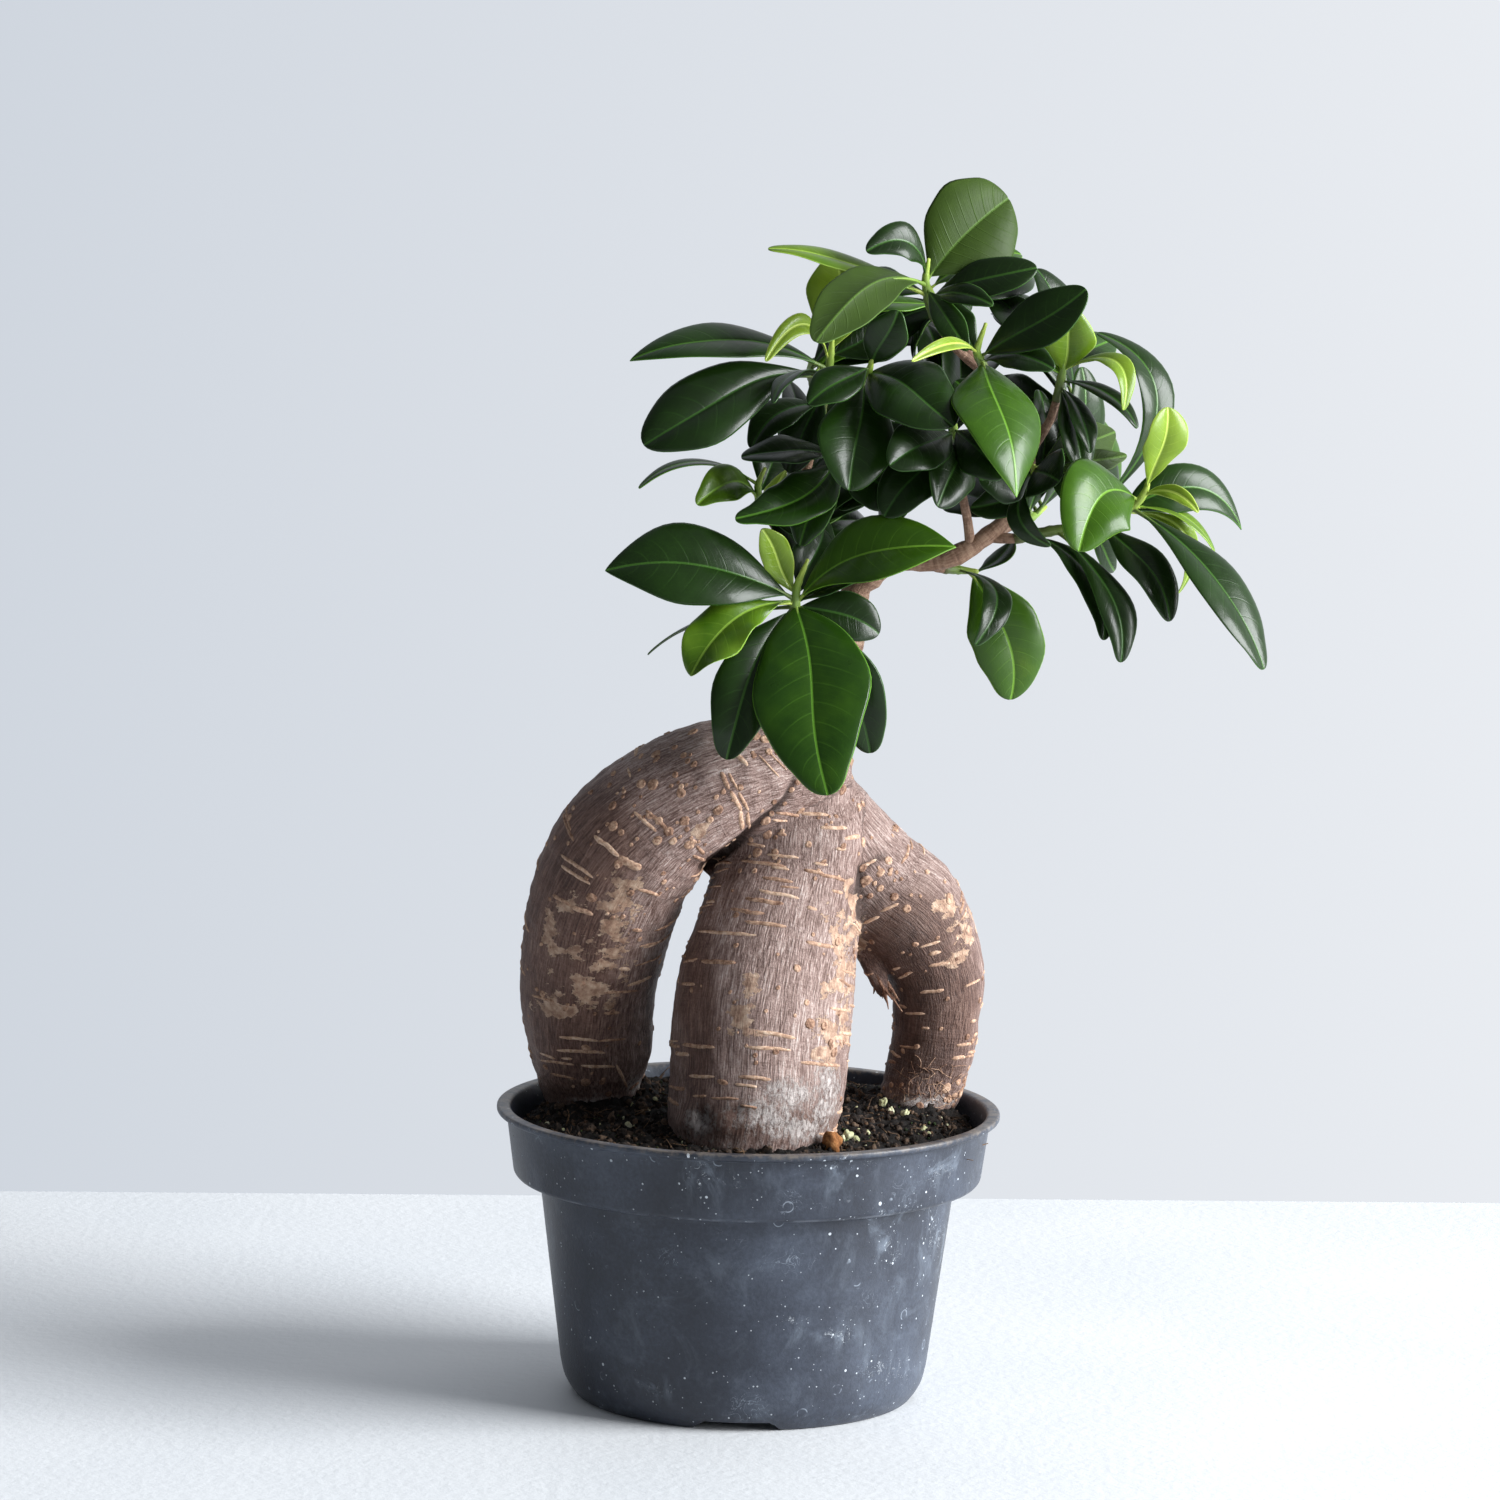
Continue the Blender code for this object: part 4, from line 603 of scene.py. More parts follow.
class Net:
    """The node tree of one material, written as nested calls."""

    def __init__(self, name):
        self.material = bpy.data.materials.new(name)
        self.material.use_nodes = True
        self.tree = self.material.node_tree
        self.shader = self.tree.nodes["Principled BSDF"]

    def feed(self, socket, value):
        if isinstance(value, bpy.types.NodeSocket):
            self.tree.links.new(value, socket)
        else:
            socket.default_value = value

    def add(self, kind, values, output=0, **settings):
        node = self.tree.nodes.new("ShaderNode" + kind)
        for name, value in settings.items():
            setattr(node, name, value)
        for key, value in values.items():
            self.feed(node.inputs[key], value)
        return node.outputs[output]

    def attribute(self, name, output="Fac"):
        return self.add("Attribute", {}, output, attribute_name=name)

    def parts(self, vector):
        split = self.add("SeparateXYZ", {0: vector}).node
        return split.outputs[0], split.outputs[1], split.outputs[2]

    def place(self):
        return self.add("TexCoord", {}, "Object")

    def math(self, operation, first, second=0.0, third=0.0):
        return self.add("Math", {0: first, 1: second, 2: third}, operation=operation)

    def times(self, first, second):
        return self.math("MULTIPLY", first, second)

    def times_plus(self, first, second, third):
        return self.math("MULTIPLY_ADD", first, second, third)

    def plus(self, first, second):
        return self.math("ADD", first, second)

    def minus(self, first, second):
        return self.math("SUBTRACT", first, second)

    def size(self, value):
        return self.math("ABSOLUTE", value)

    def most(self, first, second):
        return self.math("MAXIMUM", first, second)

    def above(self, value, limit):
        return self.math("GREATER_THAN", value, limit)

    def scaled(self, vector, x, y, z):
        return self.add("VectorMath", {0: vector, 1: (x, y, z)}, operation="MULTIPLY")

    def noise(self, vector, scale, detail=2.0, roughness=0.5, distortion=0.0):
        values = {"Vector": vector, "Scale": scale, "Detail": detail, "Roughness": roughness,
                  "Distortion": distortion}
        return self.add("TexNoise", values)

    def cells(self, vector, scale, output="Distance"):
        return self.add("TexVoronoi", {"Vector": vector, "Scale": scale}, output)

    def rise(self, value, low, high):
        """Runs smoothly from 0 to 1 as the value goes from low to high."""
        values = {"Value": value, "From Min": low, "From Max": high}
        return self.add("MapRange", values, interpolation_type="SMOOTHSTEP")

    def mix(self, share, first, second):
        return self.add("Mix", {0: share, 6: first, 7: second}, 2, data_type="RGBA")

    def ramp(self, value, *stops):
        """Colours by the value, each stop as its position, red, green and blue."""
        stops = [(at, tint(*colour)) for at, *colour in stops]
        node = self.tree.nodes.new("ShaderNodeValToRGB")
        elements = node.color_ramp.elements
        elements[0].position, elements[0].color = stops[0]
        elements[1].position, elements[1].color = stops[-1]
        for position, colour in stops[1:-1]:
            elements.new(position).color = colour
        self.feed(node.inputs[0], value)
        return node.outputs[0]

    def bump(self, height, distance):
        return self.add("Bump", {"Height": height, "Distance": distance * MM}, "Normal")

    def finish(self, colour, roughness, normal, constants):
        self.feed(self.shader.inputs["Base Color"], colour)
        self.feed(self.shader.inputs["Roughness"], roughness)
        self.feed(self.shader.inputs["Normal"], normal)
        for name, value in constants.items():
            self.shader.inputs[name].default_value = value
        return self.material


def tint(red, green, blue):
    """A colour for a material from the red, green and blue that show, up to 255."""
    def linear(value):
        value /= 255
        return value / 12.92 if value <= 0.04045 else ((value + 0.055) / 1.055) ** 2.4
    return linear(red), linear(green), linear(blue), 1.0


class Body:
    """Closed shells with what their materials read from them, gathered into one piece."""

    def __init__(self, *values):
        self.verts, self.faces, self.slots = [], [], []
        self.values = {name: [] for name in values}

    def add(self, verts, faces, slot=0, **values):
        """Adds a shell. A slot or value is one for all of it, or a list of one for each."""
        base = len(self.verts)
        self.verts += verts
        self.faces += [tuple(base + i for i in face) for face in faces]
        self.slots += slot if isinstance(slot, list) else [slot] * len(faces)
        for name, store in self.values.items():
            value = values.get(name, 0.0)
            store += value if isinstance(value, list) else [value] * len(verts)

    def build(self, name, materials, *nodes):
        mesh = bpy.data.meshes.new(name)
        mesh.from_pydata([Vector(v) * MM for v in self.verts], [], self.faces)
        for key, store in self.values.items():
            is_vector = not isinstance(store[0], (int, float))
            kind, field = ("FLOAT_VECTOR", "vector") if is_vector else ("FLOAT", "value")
            made = mesh.attributes.new(key, kind, "POINT")
            made.data.foreach_set(field, np.array(store, np.float32).ravel())
        for made in materials:
            mesh.materials.append(made)
        mesh.polygons.foreach_set("material_index", self.slots)
        mesh.shade_smooth()
        return settle(bpy.data.objects.new(name, mesh), *nodes)


def settle(item, *nodes):
    """Puts a piece on the pot's axis, makes it ride, and lets it stand for these nodes."""
    if item.name not in bpy.context.scene.collection.objects:
        bpy.context.scene.collection.objects.link(item)
    item.location = AXIS
    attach(item, "root")
    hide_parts(*nodes)
    return item


def smooth_rows(rows, steps):
    """Rows of numbers on a smooth curve through the given rows, which stay on it."""
    rows = [Vector(row) for row in rows]
    ends = [2 * rows[0] - rows[1], *rows, 2 * rows[-1] - rows[-2]]
    curved = []
    for a, b, c, d in zip(ends, ends[1:], ends[2:], ends[3:]):
        for i in range(steps):
            t = i / steps
            curved.append(0.5 * (
                2 * b + (c - a) * t + (2 * a - 5 * b + 4 * c - d) * t * t
                + (3 * b - a - 3 * c + d) * t * t * t
            ))
    return curved + [rows[-1]]


def placed_rows(rows):
    """Rows of across, up, depth and thickness as rows of x, y, z and radius."""
    return [(*place(*row[:3]), row[3] / 2) for row in rows]


def frames(rows):
    """For each row the centre, radius, direction, two sides and the way from the start."""
    centres = [Vector(row[:3]) for row in rows]
    side = None
    way = 0.0
    found = []
    for i, centre in enumerate(centres):
        before, after = centres[max(i - 1, 0)], centres[min(i + 1, len(centres) - 1)]
        along = (after - before).normalized()
        side = Vector((0, -1, 0.01)) if side is None else side
        side = (side - along * side.dot(along)).normalized()
        way += (centre - before).length if i else 0.0
        found.append((centre, rows[i][3], along, side, along.cross(side), way))
    return found


def tube(rows, sides, roughness=0.0):
    """A closed tube through rows of x, y, z and radius: vertices, faces and grain."""
    verts, faces, grain = [], [], []
    for centre, radius, along, first, second, way in frames(rows):
        for j in range(sides):
            angle = math.tau * j / sides
            c, s = math.cos(angle), math.sin(angle)
            lump = noise.noise(Vector((c * 1.3, s * 1.3, way * 0.35)) + centre * 0.02)
            r = radius * (1 + roughness * lump)
            verts.append(centre + (first * c + second * s) * r)
            grain.append((c * r, s * r, way))
    rings = len(rows)
    for i in range(rings - 1):
        for j in range(sides):
            a, b = i * sides + j, i * sides + (j + 1) % sides
            faces.append((a, b, b + sides, a + sides))
    for ring, flip in ((0, True), (rings - 1, False)):
        start = ring * sides
        centre, radius, along, _, _, way = frames(rows)[ring]
        verts.append(centre + along * (-0.5 if flip else 0.5) * radius)
        grain.append((0.0, 0.0, way))
        for j in range(sides):
            a, b = start + j, start + (j + 1) % sides
            faces.append((b, a, len(verts) - 1) if flip else (a, b, len(verts) - 1))
    return verts, faces, grain


def twig_rows(shoot):
    """The green twig, which starts a small gap past the end of its branch."""
    end = Vector(shoot.branch[-1][:3])
    onward = (Vector(shoot.twig[0][:3]) - end).normalized()
    start = end + onward * GAP
    return ((*start, shoot.branch[-1][3] - 0.2),) + shoot.twig


def nearest_on_twig(shoot, across, up):
    """The point of the twig that shows nearest to a place, with its depth."""
    target = Vector((across, up))
    rows = twig_rows(shoot)
    best = None
    for first, last in zip(rows, rows[1:]):
        a, b = Vector(first[:3]), Vector(last[:3])
        run = (b - a).xy
        share = (target - a.xy).dot(run) / max(run.length_squared, 1e-6)
        spot = a.lerp(b, min(max(share, LEAFY_PART[0]), LEAFY_PART[1]))
        miss = (spot.xy - target).length
        if best is None or miss < best[0]:
            best = (miss, spot)
    return best[1]


class Blade:
    """The middle surface of one leaf: a midrib with the two halves of the blade."""

    def __init__(self, leaf, root, tip, turn):
        self.leaf = leaf
        self.root = root
        self.tip = tip
        chord = tip - root
        self.length = chord.length
        along = chord.normalized()
        toward_viewer = Vector((0, -1, 0.12))
        facing = (toward_viewer - along * toward_viewer.dot(along)).normalized()
        side = along.cross(facing)
        if side.dot(Vector((0.35, 0, 1))) < 0:
            side.negate()
        turned_by = math.radians(turn)
        upper = facing * math.cos(turned_by) + side * math.sin(turned_by)
        self.across = along.cross(upper).normalized()
        bend = 2 * (side * leaf.bow + upper * leaf.arch) + along * leaf.lean
        self.control = (root + tip) / 2 + bend * self.length
        self.petiole = PETIOLE_SHARE if leaf.broad >= 1 else ROUND_PETIOLE_SHARE
        self.upper = upper * leaf.face

    def midrib(self, t):
        return self.root.lerp(self.control, t).lerp(self.control.lerp(self.tip, t), t)

    def direction(self, t):
        return (self.control - self.root).lerp(self.tip - self.control, t).normalized()

    def outline(self, share):
        """The blade's half width at a share of the way from its base to its very tip."""
        run = share ** self.leaf.broad
        fullness = BASE_FULLNESS if run < 0.5 else self.leaf.blunt
        return max(0.05, self.leaf.width / 2 * math.sin(math.pi * run) ** fullness)

    def edge(self, share):
        """The blade's half width with its tip round, unless that is drawn out."""
        half = self.outline(share)
        if self.leaf.blunt > DRAWN_OUT or share < TIP_START:
            return half
        near = (share - TIP_START) / (1 - TIP_START)
        rounded_half = self.leaf.width / 2 * math.sin(math.pi * share ** self.leaf.broad) ** 0.5
        return half + (rounded_half - half) * near

    def half_width(self, t):
        """The half width of the solid's slab, whose tip is blunt."""
        s = (t - self.petiole) / (1 - self.petiole)
        return max(SLAB_PETIOLE / 2, self.outline(OUTLINE_END * s))

    def frame(self, t):
        along = self.direction(t)
        across = (self.across - along * self.across.dot(along)).normalized()
        upper = across.cross(along)
        if upper.dot(self.upper) < 0:
            upper.negate()
        return across, upper

    def point(self, t, x):
        """A place on the solid's slab: t along the midrib, x from one edge to the other."""
        across, upper = self.frame(t)
        half = self.half_width(t)
        fold = math.radians(self.leaf.fold)
        spread = across * math.cos(fold) * x + upper * math.sin(fold) * abs(x)
        offset = RIPPLE_OFFSET if x > 0 else 0.0
        ripple = self.leaf.wave * math.sin(t * RIPPLES + offset) * x * x
        return self.midrib(t) + spread * half + upper * ripple

    def end_ring(self):
        """The corners of the solid's slab at the leaf's tip."""
        lift = self.frame(1.0)[1] * SLAB_THICKNESS / 2
        ring = [self.point(1.0, x) for x in (-1, 0, 1)]
        return [spot + lift for spot in ring] + [spot - lift for spot in ring]


def grown_leaves(shoot, rng):
    """Leaves set round the twig at the golden angle, where the head is dense from the front."""
    rows = [place(*row[:3]) for row in twig_rows(shoot)]
    axis = (rows[-1] - rows[0]).normalized()
    first = axis.orthogonal().normalized()
    second = axis.cross(first)
    leaves = []
    turn = rng.uniform(0, math.tau)
    for _ in range(TRIES_A_LEAF * shoot.grown):
        if len(leaves) == shoot.grown:
            break
        turn += GOLDEN_ANGLE
        share = 0.15 + 0.8 * (len(leaves) + 0.5) / shoot.grown
        root = rows[0].lerp(rows[-1], share)
        lean = math.radians(rng.uniform(*GROWN_LEANS))
        outward = first * math.cos(turn) + second * math.sin(turn)
        heading = axis * math.cos(lean) + outward * math.sin(lean)
        length = rng.uniform(*GROWN_LENGTHS)
        tip = root + heading * length
        across, up = shown(tip)
        hidden = any(math.hypot(across - a, up - b) < r for a, b, r in DENSE_ROUNDS)
        if not hidden or tip.y > DEPTH_LIMIT or heading.y < FORWARD_LIMIT:
            continue
        leaves.append(Leaf(
            shown(root), (across, up, tip.y), length * rng.uniform(*GROWN_WIDTHS),
            turn=rng.uniform(*GROWN_TURNS), arch=rng.uniform(*GROWN_ARCHES),
            youth=rng.choice(GROWN_YOUTHS),
        ))
    return leaves


def standing_blade(shoot, leaf, solid):
    """The leaf's blade bent clear of its neighbours as its solid is, or none without one."""
    root = place(*nearest_on_twig(shoot, *leaf.root))
    for turn_shift in TURN_SHIFTS:
        for depth_shift in DEPTH_SHIFTS:
            across, up, depth = leaf.tip
            if depth + depth_shift > DEPTH_LIMIT:
                continue
            tip = place(across, up, depth + depth_shift)
            blade = Blade(leaf, root, tip, leaf.turn + turn_shift)
            misses = [solid.find(spot)[2] for spot in blade.end_ring()]
            if sum(miss < FOUND for miss in misses) >= FOUND_POINTS:
                return blade
    return None


def ring_places(half):
    """Where a ring's points stand across the blade, from one edge to the other."""
    rib = min(0.35 / half, 0.1)
    shoulder = min(0.95 / half, 0.2)
    side = (rib, shoulder, 0.3, 0.48, 0.66, 0.83, 0.95, 1.0)
    return [-x for x in reversed(side)] + [0.0] + list(side)


def add_blade(body, blade, bend, rng, below=False):
    """The blade as a closed thin shell with a rounded fold, soft waves and a rib below."""
    leaf = blade.leaf
    camber = rng.uniform(0.03, 0.09)
    curl = rng.uniform(0.0, 0.07)
    droop = rng.uniform(0.0, 0.035) * blade.length
    wave = rng.uniform(0.1, 0.45)
    pace = rng.uniform(9, 16)
    phases = (rng.uniform(0, math.tau), rng.uniform(0, math.tau))
    sway = rng.uniform(-0.02, 0.02) * blade.length
    tone = rng.uniform(-1, 1)
    base_roll, tip_roll, fold = bend[0], bend[1], math.radians(bend[2])
    first = blade.petiole * BLADE_START
    last = blade.petiole + (1 - blade.petiole) / OUTLINE_END
    rib_size = min(max(blade.length / 60, 0.5), 1.1)
    verts, spots = [blade.midrib(first)], [(0.0, first, 0.1)]
    count = len(ring_places(1.0))
    around = 2 * count - 2
    for i in range(1, BLADE_RINGS):
        share = (1 - math.cos(math.pi * i / BLADE_RINGS)) / 2
        t = first + (last - first) * share
        half = blade.edge(share) * (1 + 0.03 * math.sin(t * pace * 1.3 + phases[0]))
        across, upper = blade.frame(t)
        centre = blade.midrib(t) - upper * droop * max(0.0, (share - 0.72) / 0.28) ** 2
        centre += across * sway * math.sin(math.tau * share)
        turned = base_roll + (tip_roll - base_roll) * share
        across, upper = (across * math.cos(turned) + upper * math.sin(turned),
                         upper * math.cos(turned) - across * math.sin(turned))
        top, under = [], []
        for x in ring_places(half):
            size = abs(x)
            rounded = math.sqrt(size * size + 0.004) - 0.063
            lift = math.sin(fold) * rounded + camber * math.sin(math.pi * size)
            lift = (lift - curl * size ** 4) * half
            offset = RIPPLE_OFFSET if x > 0 else 0.0
            lift += leaf.wave * math.sin(t * RIPPLES + offset) * x * x
            swing = math.sin(t * pace + phases[x > 0])
            lift += wave * swing * x * x * math.sin(math.pi * share)
            middle = centre + across * math.cos(fold) * x * half + upper * lift
            thick = BLADE_THICKNESS / 2 * math.sqrt(1 - size ** 8)
            near = math.exp(-(size * half / 0.5) ** 2)
            groove = 0.16 * near * rib_size
            rib = (0.6 * (1 - share) ** 0.8 + 0.04) * near * rib_size
            top.append((middle + upper * (thick - groove), x))
            under.append((middle - upper * (thick + rib), x))
        for spot, x in top + under[-2:0:-1]:
            verts.append(spot)
            spots.append((x, t, half))
    verts.append(blade.midrib(last) - blade.frame(1.0)[1] * droop)
    spots.append((0.0, last, 0.1))
    across, upper = blade.frame(0.5)
    flip = across.cross(blade.direction(0.5)).dot(upper) < 0
    faces, slots = [], []
    for j in range(around):
        k = (j + 1) % around
        slot = 0 if j < count - 1 and not below else 1
        for i in range(BLADE_RINGS):
            a, b = 1 + (i - 1) * around, 1 + i * around
            if i == 0:
                face = (0, b + k, b + j)
            elif i == BLADE_RINGS - 1:
                face = (a + j, a + k, len(verts) - 1)
            else:
                face = (a + j, a + k, b + k, b + j)
            faces.append(face[::-1] if flip else face)
            slots.append(slot)
    body.add(verts, faces, slots, spot=spots, youth=leaf.youth, tone=tone)


def add_petiole(body, blade):
    """The stalk from inside the twig to where it runs out under the blade."""
    scale = min(max(blade.length / 50, 0.6), 1.0)
    rows = []
    for share, radius in PETIOLE_RADII:
        t = blade.petiole * share
        sunk = 0.35 * scale * min(share, 1.0)
        centre = blade.midrib(t) - blade.frame(t)[1] * sunk
        rows.append((*centre, radius * scale))
    verts, faces, grain = tube(smooth_rows(rows, 3), 8)
    body.add(verts, faces, 2, spot=grain, youth=min(blade.leaf.youth + 0.25, 1.0))


def add_twig(body, shoot):
    """The green twig with its bud, brown where it leaves the wood and light at its end."""
    rows = placed_rows(((*shoot.branch[-1][:3], shoot.branch[-1][3] * 0.96),) + shoot.twig)
    rows = smooth_rows(rows, 6)
    count = len(rows)
    for i, row in enumerate(rows):
        joint = math.sin(i * 1.3) ** 8
        row[3] = max(row[3] * (1.22 + 0.2 * joint), 0.4)
    verts, faces, grain = tube(rows, 10, 0.12)
    youth = [0.2 + 0.75 * (i // 10) / count for i in range(len(verts) - 2)] + [0.2, 0.95]
    body.add(verts, faces, 2, spot=grain, youth=youth)


def leaf_colours(net, youth, *colours):
    stops = zip((0.05, 0.35, 0.6, 0.95), colours)
    return net.ramp(youth, *[(at, *colour) for at, colour in stops])


def vein_lines(net, across, along, count):
    """Narrow lines that leave the rib in pairs and bend towards the tip."""
    reach = net.math("POWER", net.size(across), 1.35)
    way = net.times_plus(reach, -0.15, along)
    other_half = net.above(across, 0.0)
    phase = net.times_plus(other_half, 0.45, net.times(way, count))
    near = net.size(net.minus(net.math("FRACT", phase), 0.5))
    return net.rise(near, 0.07, 0.0)


def leaf_material(name, upper):
    net = Net(name)
    spot = net.attribute("spot", "Vector")
    across, along, half = net.parts(spot)
    size = net.size(across)
    object_place = net.place()
    youth = net.attribute("youth")
    tone = net.attribute("tone")
    blotch = net.noise(object_place, 90, 3.0)
    fine = net.noise(object_place, 900, 2.0)
    shade = net.times_plus(tone, 0.05, youth)
    shade = net.times_plus(net.minus(blotch, 0.5), 0.35, shade)
    main = vein_lines(net, across, along, 10.0)
    small = vein_lines(net, across, along, 33.0)
    faded = net.rise(size, 1.0, 0.25)
    veins = net.times(net.times_plus(small, 0.3, main), faded)
    from_rib = net.times(size, half)
    rib = net.rise(from_rib, 0.5, 0.2)
    margin = net.rise(net.times(net.minus(1.0, size), half), 0.4, 0.1)
    if upper:
        base = leaf_colours(net, shade, (18, 35, 8), (28, 56, 7), (53, 87, 10), (112, 138, 36))
        pale = leaf_colours(net, youth, (48, 84, 34), (92, 144, 44), (124, 170, 54), (186, 206, 96))
        vein_share, rib_share, rough = 0.12, 0.65, 0.31
    else:
        base = leaf_colours(net, shade, (36, 50, 22), (48, 68, 18), (72, 98, 24), (132, 152, 44))
        pale = leaf_colours(net, youth, (64, 88, 44), (86, 118, 46), (112, 144, 54), (156, 176, 80))
        vein_share, rib_share, rough = 0.1, 0.6, 0.52
    colour = net.mix(net.times(veins, vein_share), base, pale)
    colour = net.mix(net.times(margin, 0.7), colour, pale)
    colour = net.mix(net.times(rib, rib_share), colour, pale)
    roughness = net.times_plus(blotch, 0.16, rough - 0.08)
    height = net.times_plus(net.noise(object_place, 75, 2.0), 6.0,
                            net.times(fine, 0.3))
    sign = -0.4 if upper else 1.2
    height = net.times_plus(veins, sign, height)
    normal = net.bump(height, 0.08)
    constants = {"Specular IOR Level": 0.24 if upper else 0.16,
                 "Coat Weight": 0.1 if upper else 0.0, "Coat Roughness": 0.1}
    return net.finish(colour, roughness, normal, constants)


def stalk_material():
    net = Net("leaf_stalk")
    youth = net.attribute("youth")
    grain = net.attribute("spot", "Vector")
    streak = net.noise(net.scaled(grain, 1.4, 1.4, 0.3), 1.0, 3.0)
    shade = net.times_plus(net.minus(streak, 0.5), 0.3, youth)
    colour = net.ramp(shade, (0.05, 92, 78, 56), (0.3, 88, 104, 50),
                      (0.6, 118, 150, 56), (0.95, 172, 190, 80))
    roughness = net.times_plus(streak, 0.2, 0.35)
    return net.finish(colour, roughness, net.bump(streak, 0.2), {"Specular IOR Level": 0.45})


def build_leaves():
    looks = [leaf_material("leaf_upper", True), leaf_material("leaf_under", False),
             stalk_material()]
    rng = random.Random(GROWTH_SEED)
    shape_rng = random.Random(LEAF_SEED)
    lost = 0
    for shoot in SHOOTS:
        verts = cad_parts[shoot.name].data.vertices
        solid = KDTree(len(verts))
        for index, vert in enumerate(verts):
            solid.insert((vert.co - AXIS) / MM, index)
        solid.balance()
        body = Body("spot", "youth", "tone")
        add_twig(body, shoot)
        for index, leaf in enumerate((*shoot.leaves, *grown_leaves(shoot, rng))):
            blade = standing_blade(shoot, leaf, solid)
            if blade is None:
                lost += 1
                continue
            by_rule = (0.0, shape_rng.uniform(-0.2, 0.2), leaf.fold * OPENED)
            add_petiole(body, blade)
            name = (shoot.name, index)
            add_blade(body, blade, SEEN_BENDS.get(name, by_rule), shape_rng,
                      name in SEEN_UNDERSIDES)
        for leaf in FILLERS.get(shoot.name, ()):
            root = place(*nearest_on_twig(shoot, *leaf.root))
            blade = Blade(leaf, root, place(*leaf.tip), leaf.turn)
            add_petiole(body, blade)
            add_blade(body, blade, (0.0, 0.0, leaf.fold * OPENED), shape_rng)
        item = body.build(shoot.name + "_leaves", looks, shoot.name)
    print("leaves without a solid:", lost)


def curve_mesh(name, rows, sides, bends):
    """A closed tube through rows of across, up, depth and thickness, bent smoothly."""
    curve = bpy.data.curves.new(name, "CURVE")
    curve.dimensions = "3D"
    curve.bevel_depth = MM
    curve.bevel_resolution = (sides - 4) // 2
    curve.use_fill_caps = True
    spline = curve.splines.new("BEZIER")
    spline.bezier_points.add(len(rows) - 1)
    for point, (across, up, depth, thickness) in zip(spline.bezier_points, rows):
        point.co = place(across, up, depth) * MM
        point.radius = thickness / 2
        point.handle_left_type = point.handle_right_type = "AUTO"
    spline.resolution_u = bends
    mesh = applied(bpy.data.objects.new(name, curve))
    shape = bmesh.new()
    shape.from_mesh(mesh)
    bmesh.ops.remove_doubles(shape, verts=shape.verts, dist=MERGE)
    bmesh.ops.recalc_face_normals(shape, faces=shape.faces)
    shape.to_mesh(mesh)
    shape.free()
    return mesh


def applied(item):
    """The mesh of an object with its modifiers used up; the object goes."""
    bpy.context.scene.collection.objects.link(item)
    evaluated = item.evaluated_get(bpy.context.evaluated_depsgraph_get())
    mesh = bpy.data.meshes.new_from_object(evaluated)
    bpy.data.objects.remove(item)
    return mesh


def mesh_from(name, shape):
    """A shape as a mesh; the shape goes."""
    mesh = bpy.data.meshes.new(name)
    shape.to_mesh(mesh)
    shape.free()
    return mesh


def crown_mesh():
    shape = bmesh.new()
    bmesh.ops.create_icosphere(shape, subdivisions=5, radius=1.0)
    size = Matrix.Diagonal(Vector((*CROWN_RADII, 1.0)))
    centre = Matrix.Translation(place(*CROWN_CENTRE))
    bmesh.ops.transform(shape, matrix=Matrix.Scale(MM, 4) @ centre @ size, verts=shape.verts)
    return mesh_from("crown", shape)


def grown_together():
    """The legs, the crown and the foot of the stem as one fine skin."""
    rows = (LEFT_LEG, MIDDLE_LEG, RIGHT_LEG)
    meshes = [curve_mesh("leg", leg, 48, 10) for leg in rows]
    others = (("dead_root", DEAD_ROOT, 20), ("stem", STEM[:4], 24), ("stub", STUB, 16))
    meshes += [curve_mesh(name, line, sides, 8) for name, line, sides in others]
    shape = bmesh.new()
    for mesh in (*meshes, crown_mesh()):
        shape.from_mesh(mesh)
    item = bpy.data.objects.new("caudex", mesh_from("caudex", shape))
    remesh = item.modifiers.new("Grow together", "REMESH")
    remesh.mode = "VOXEL"
    remesh.voxel_size = SKIN_VOXEL * MM
    smooth = item.modifiers.new("Soften", "SMOOTH")
    smooth.iterations = SKIN_SMOOTHING
    return applied(item)


class LegLines:
    """The middle lines of the legs, which tell each point of the skin how its grain runs."""

    def __init__(self):
        self.legs = []
        for leg in (LEFT_LEG, MIDDLE_LEG, RIGHT_LEG):
            found = frames(smooth_rows(placed_rows(leg), 8))
            self.legs.append([np.array([list(f[i]) for f in found]) for i in (0, 2, 3, 4)]
                             + [np.array([f[1] for f in found]), np.array([f[5] for f in found])])

    def read(self, points):
        """For each point its grain along its leg, and how near it is to a second leg."""
        scores, grains = [], []
        for centres, alongs, firsts, seconds, radii, ways in self.legs:
            gaps = points[:, None, :] - centres[None, :, :]
            score = np.linalg.norm(gaps, axis=2) / radii
            best = score.argmin(axis=1)
            gap = gaps[np.arange(len(points)), best]
            grain = np.stack([
                (gap * firsts[best]).sum(1), (gap * seconds[best]).sum(1),
                ways[best] + (gap * alongs[best]).sum(1),
            ], axis=1)
            scores.append(score.min(axis=1))
            grains.append(grain)
        scores = np.stack(scores, axis=1)
        legs = scores.argmin(axis=1)
        ordered = np.sort(scores, axis=1)
        grain = np.stack(grains, axis=1)[np.arange(len(points)), legs]
        return grain, ordered[:, 1] - ordered[:, 0]


def in_ovals(seen, ovals):
    """How strongly each pixel lies in the nearest of these ovals."""
    best = np.zeros(len(seen))
    for x, y, width, height in ovals:
        away = ((seen[:, 0] - x) / width) ** 2 + ((seen[:, 1] - y) / height) ** 2
        best = np.maximum(best, np.exp(-0.6 * away))
    return best


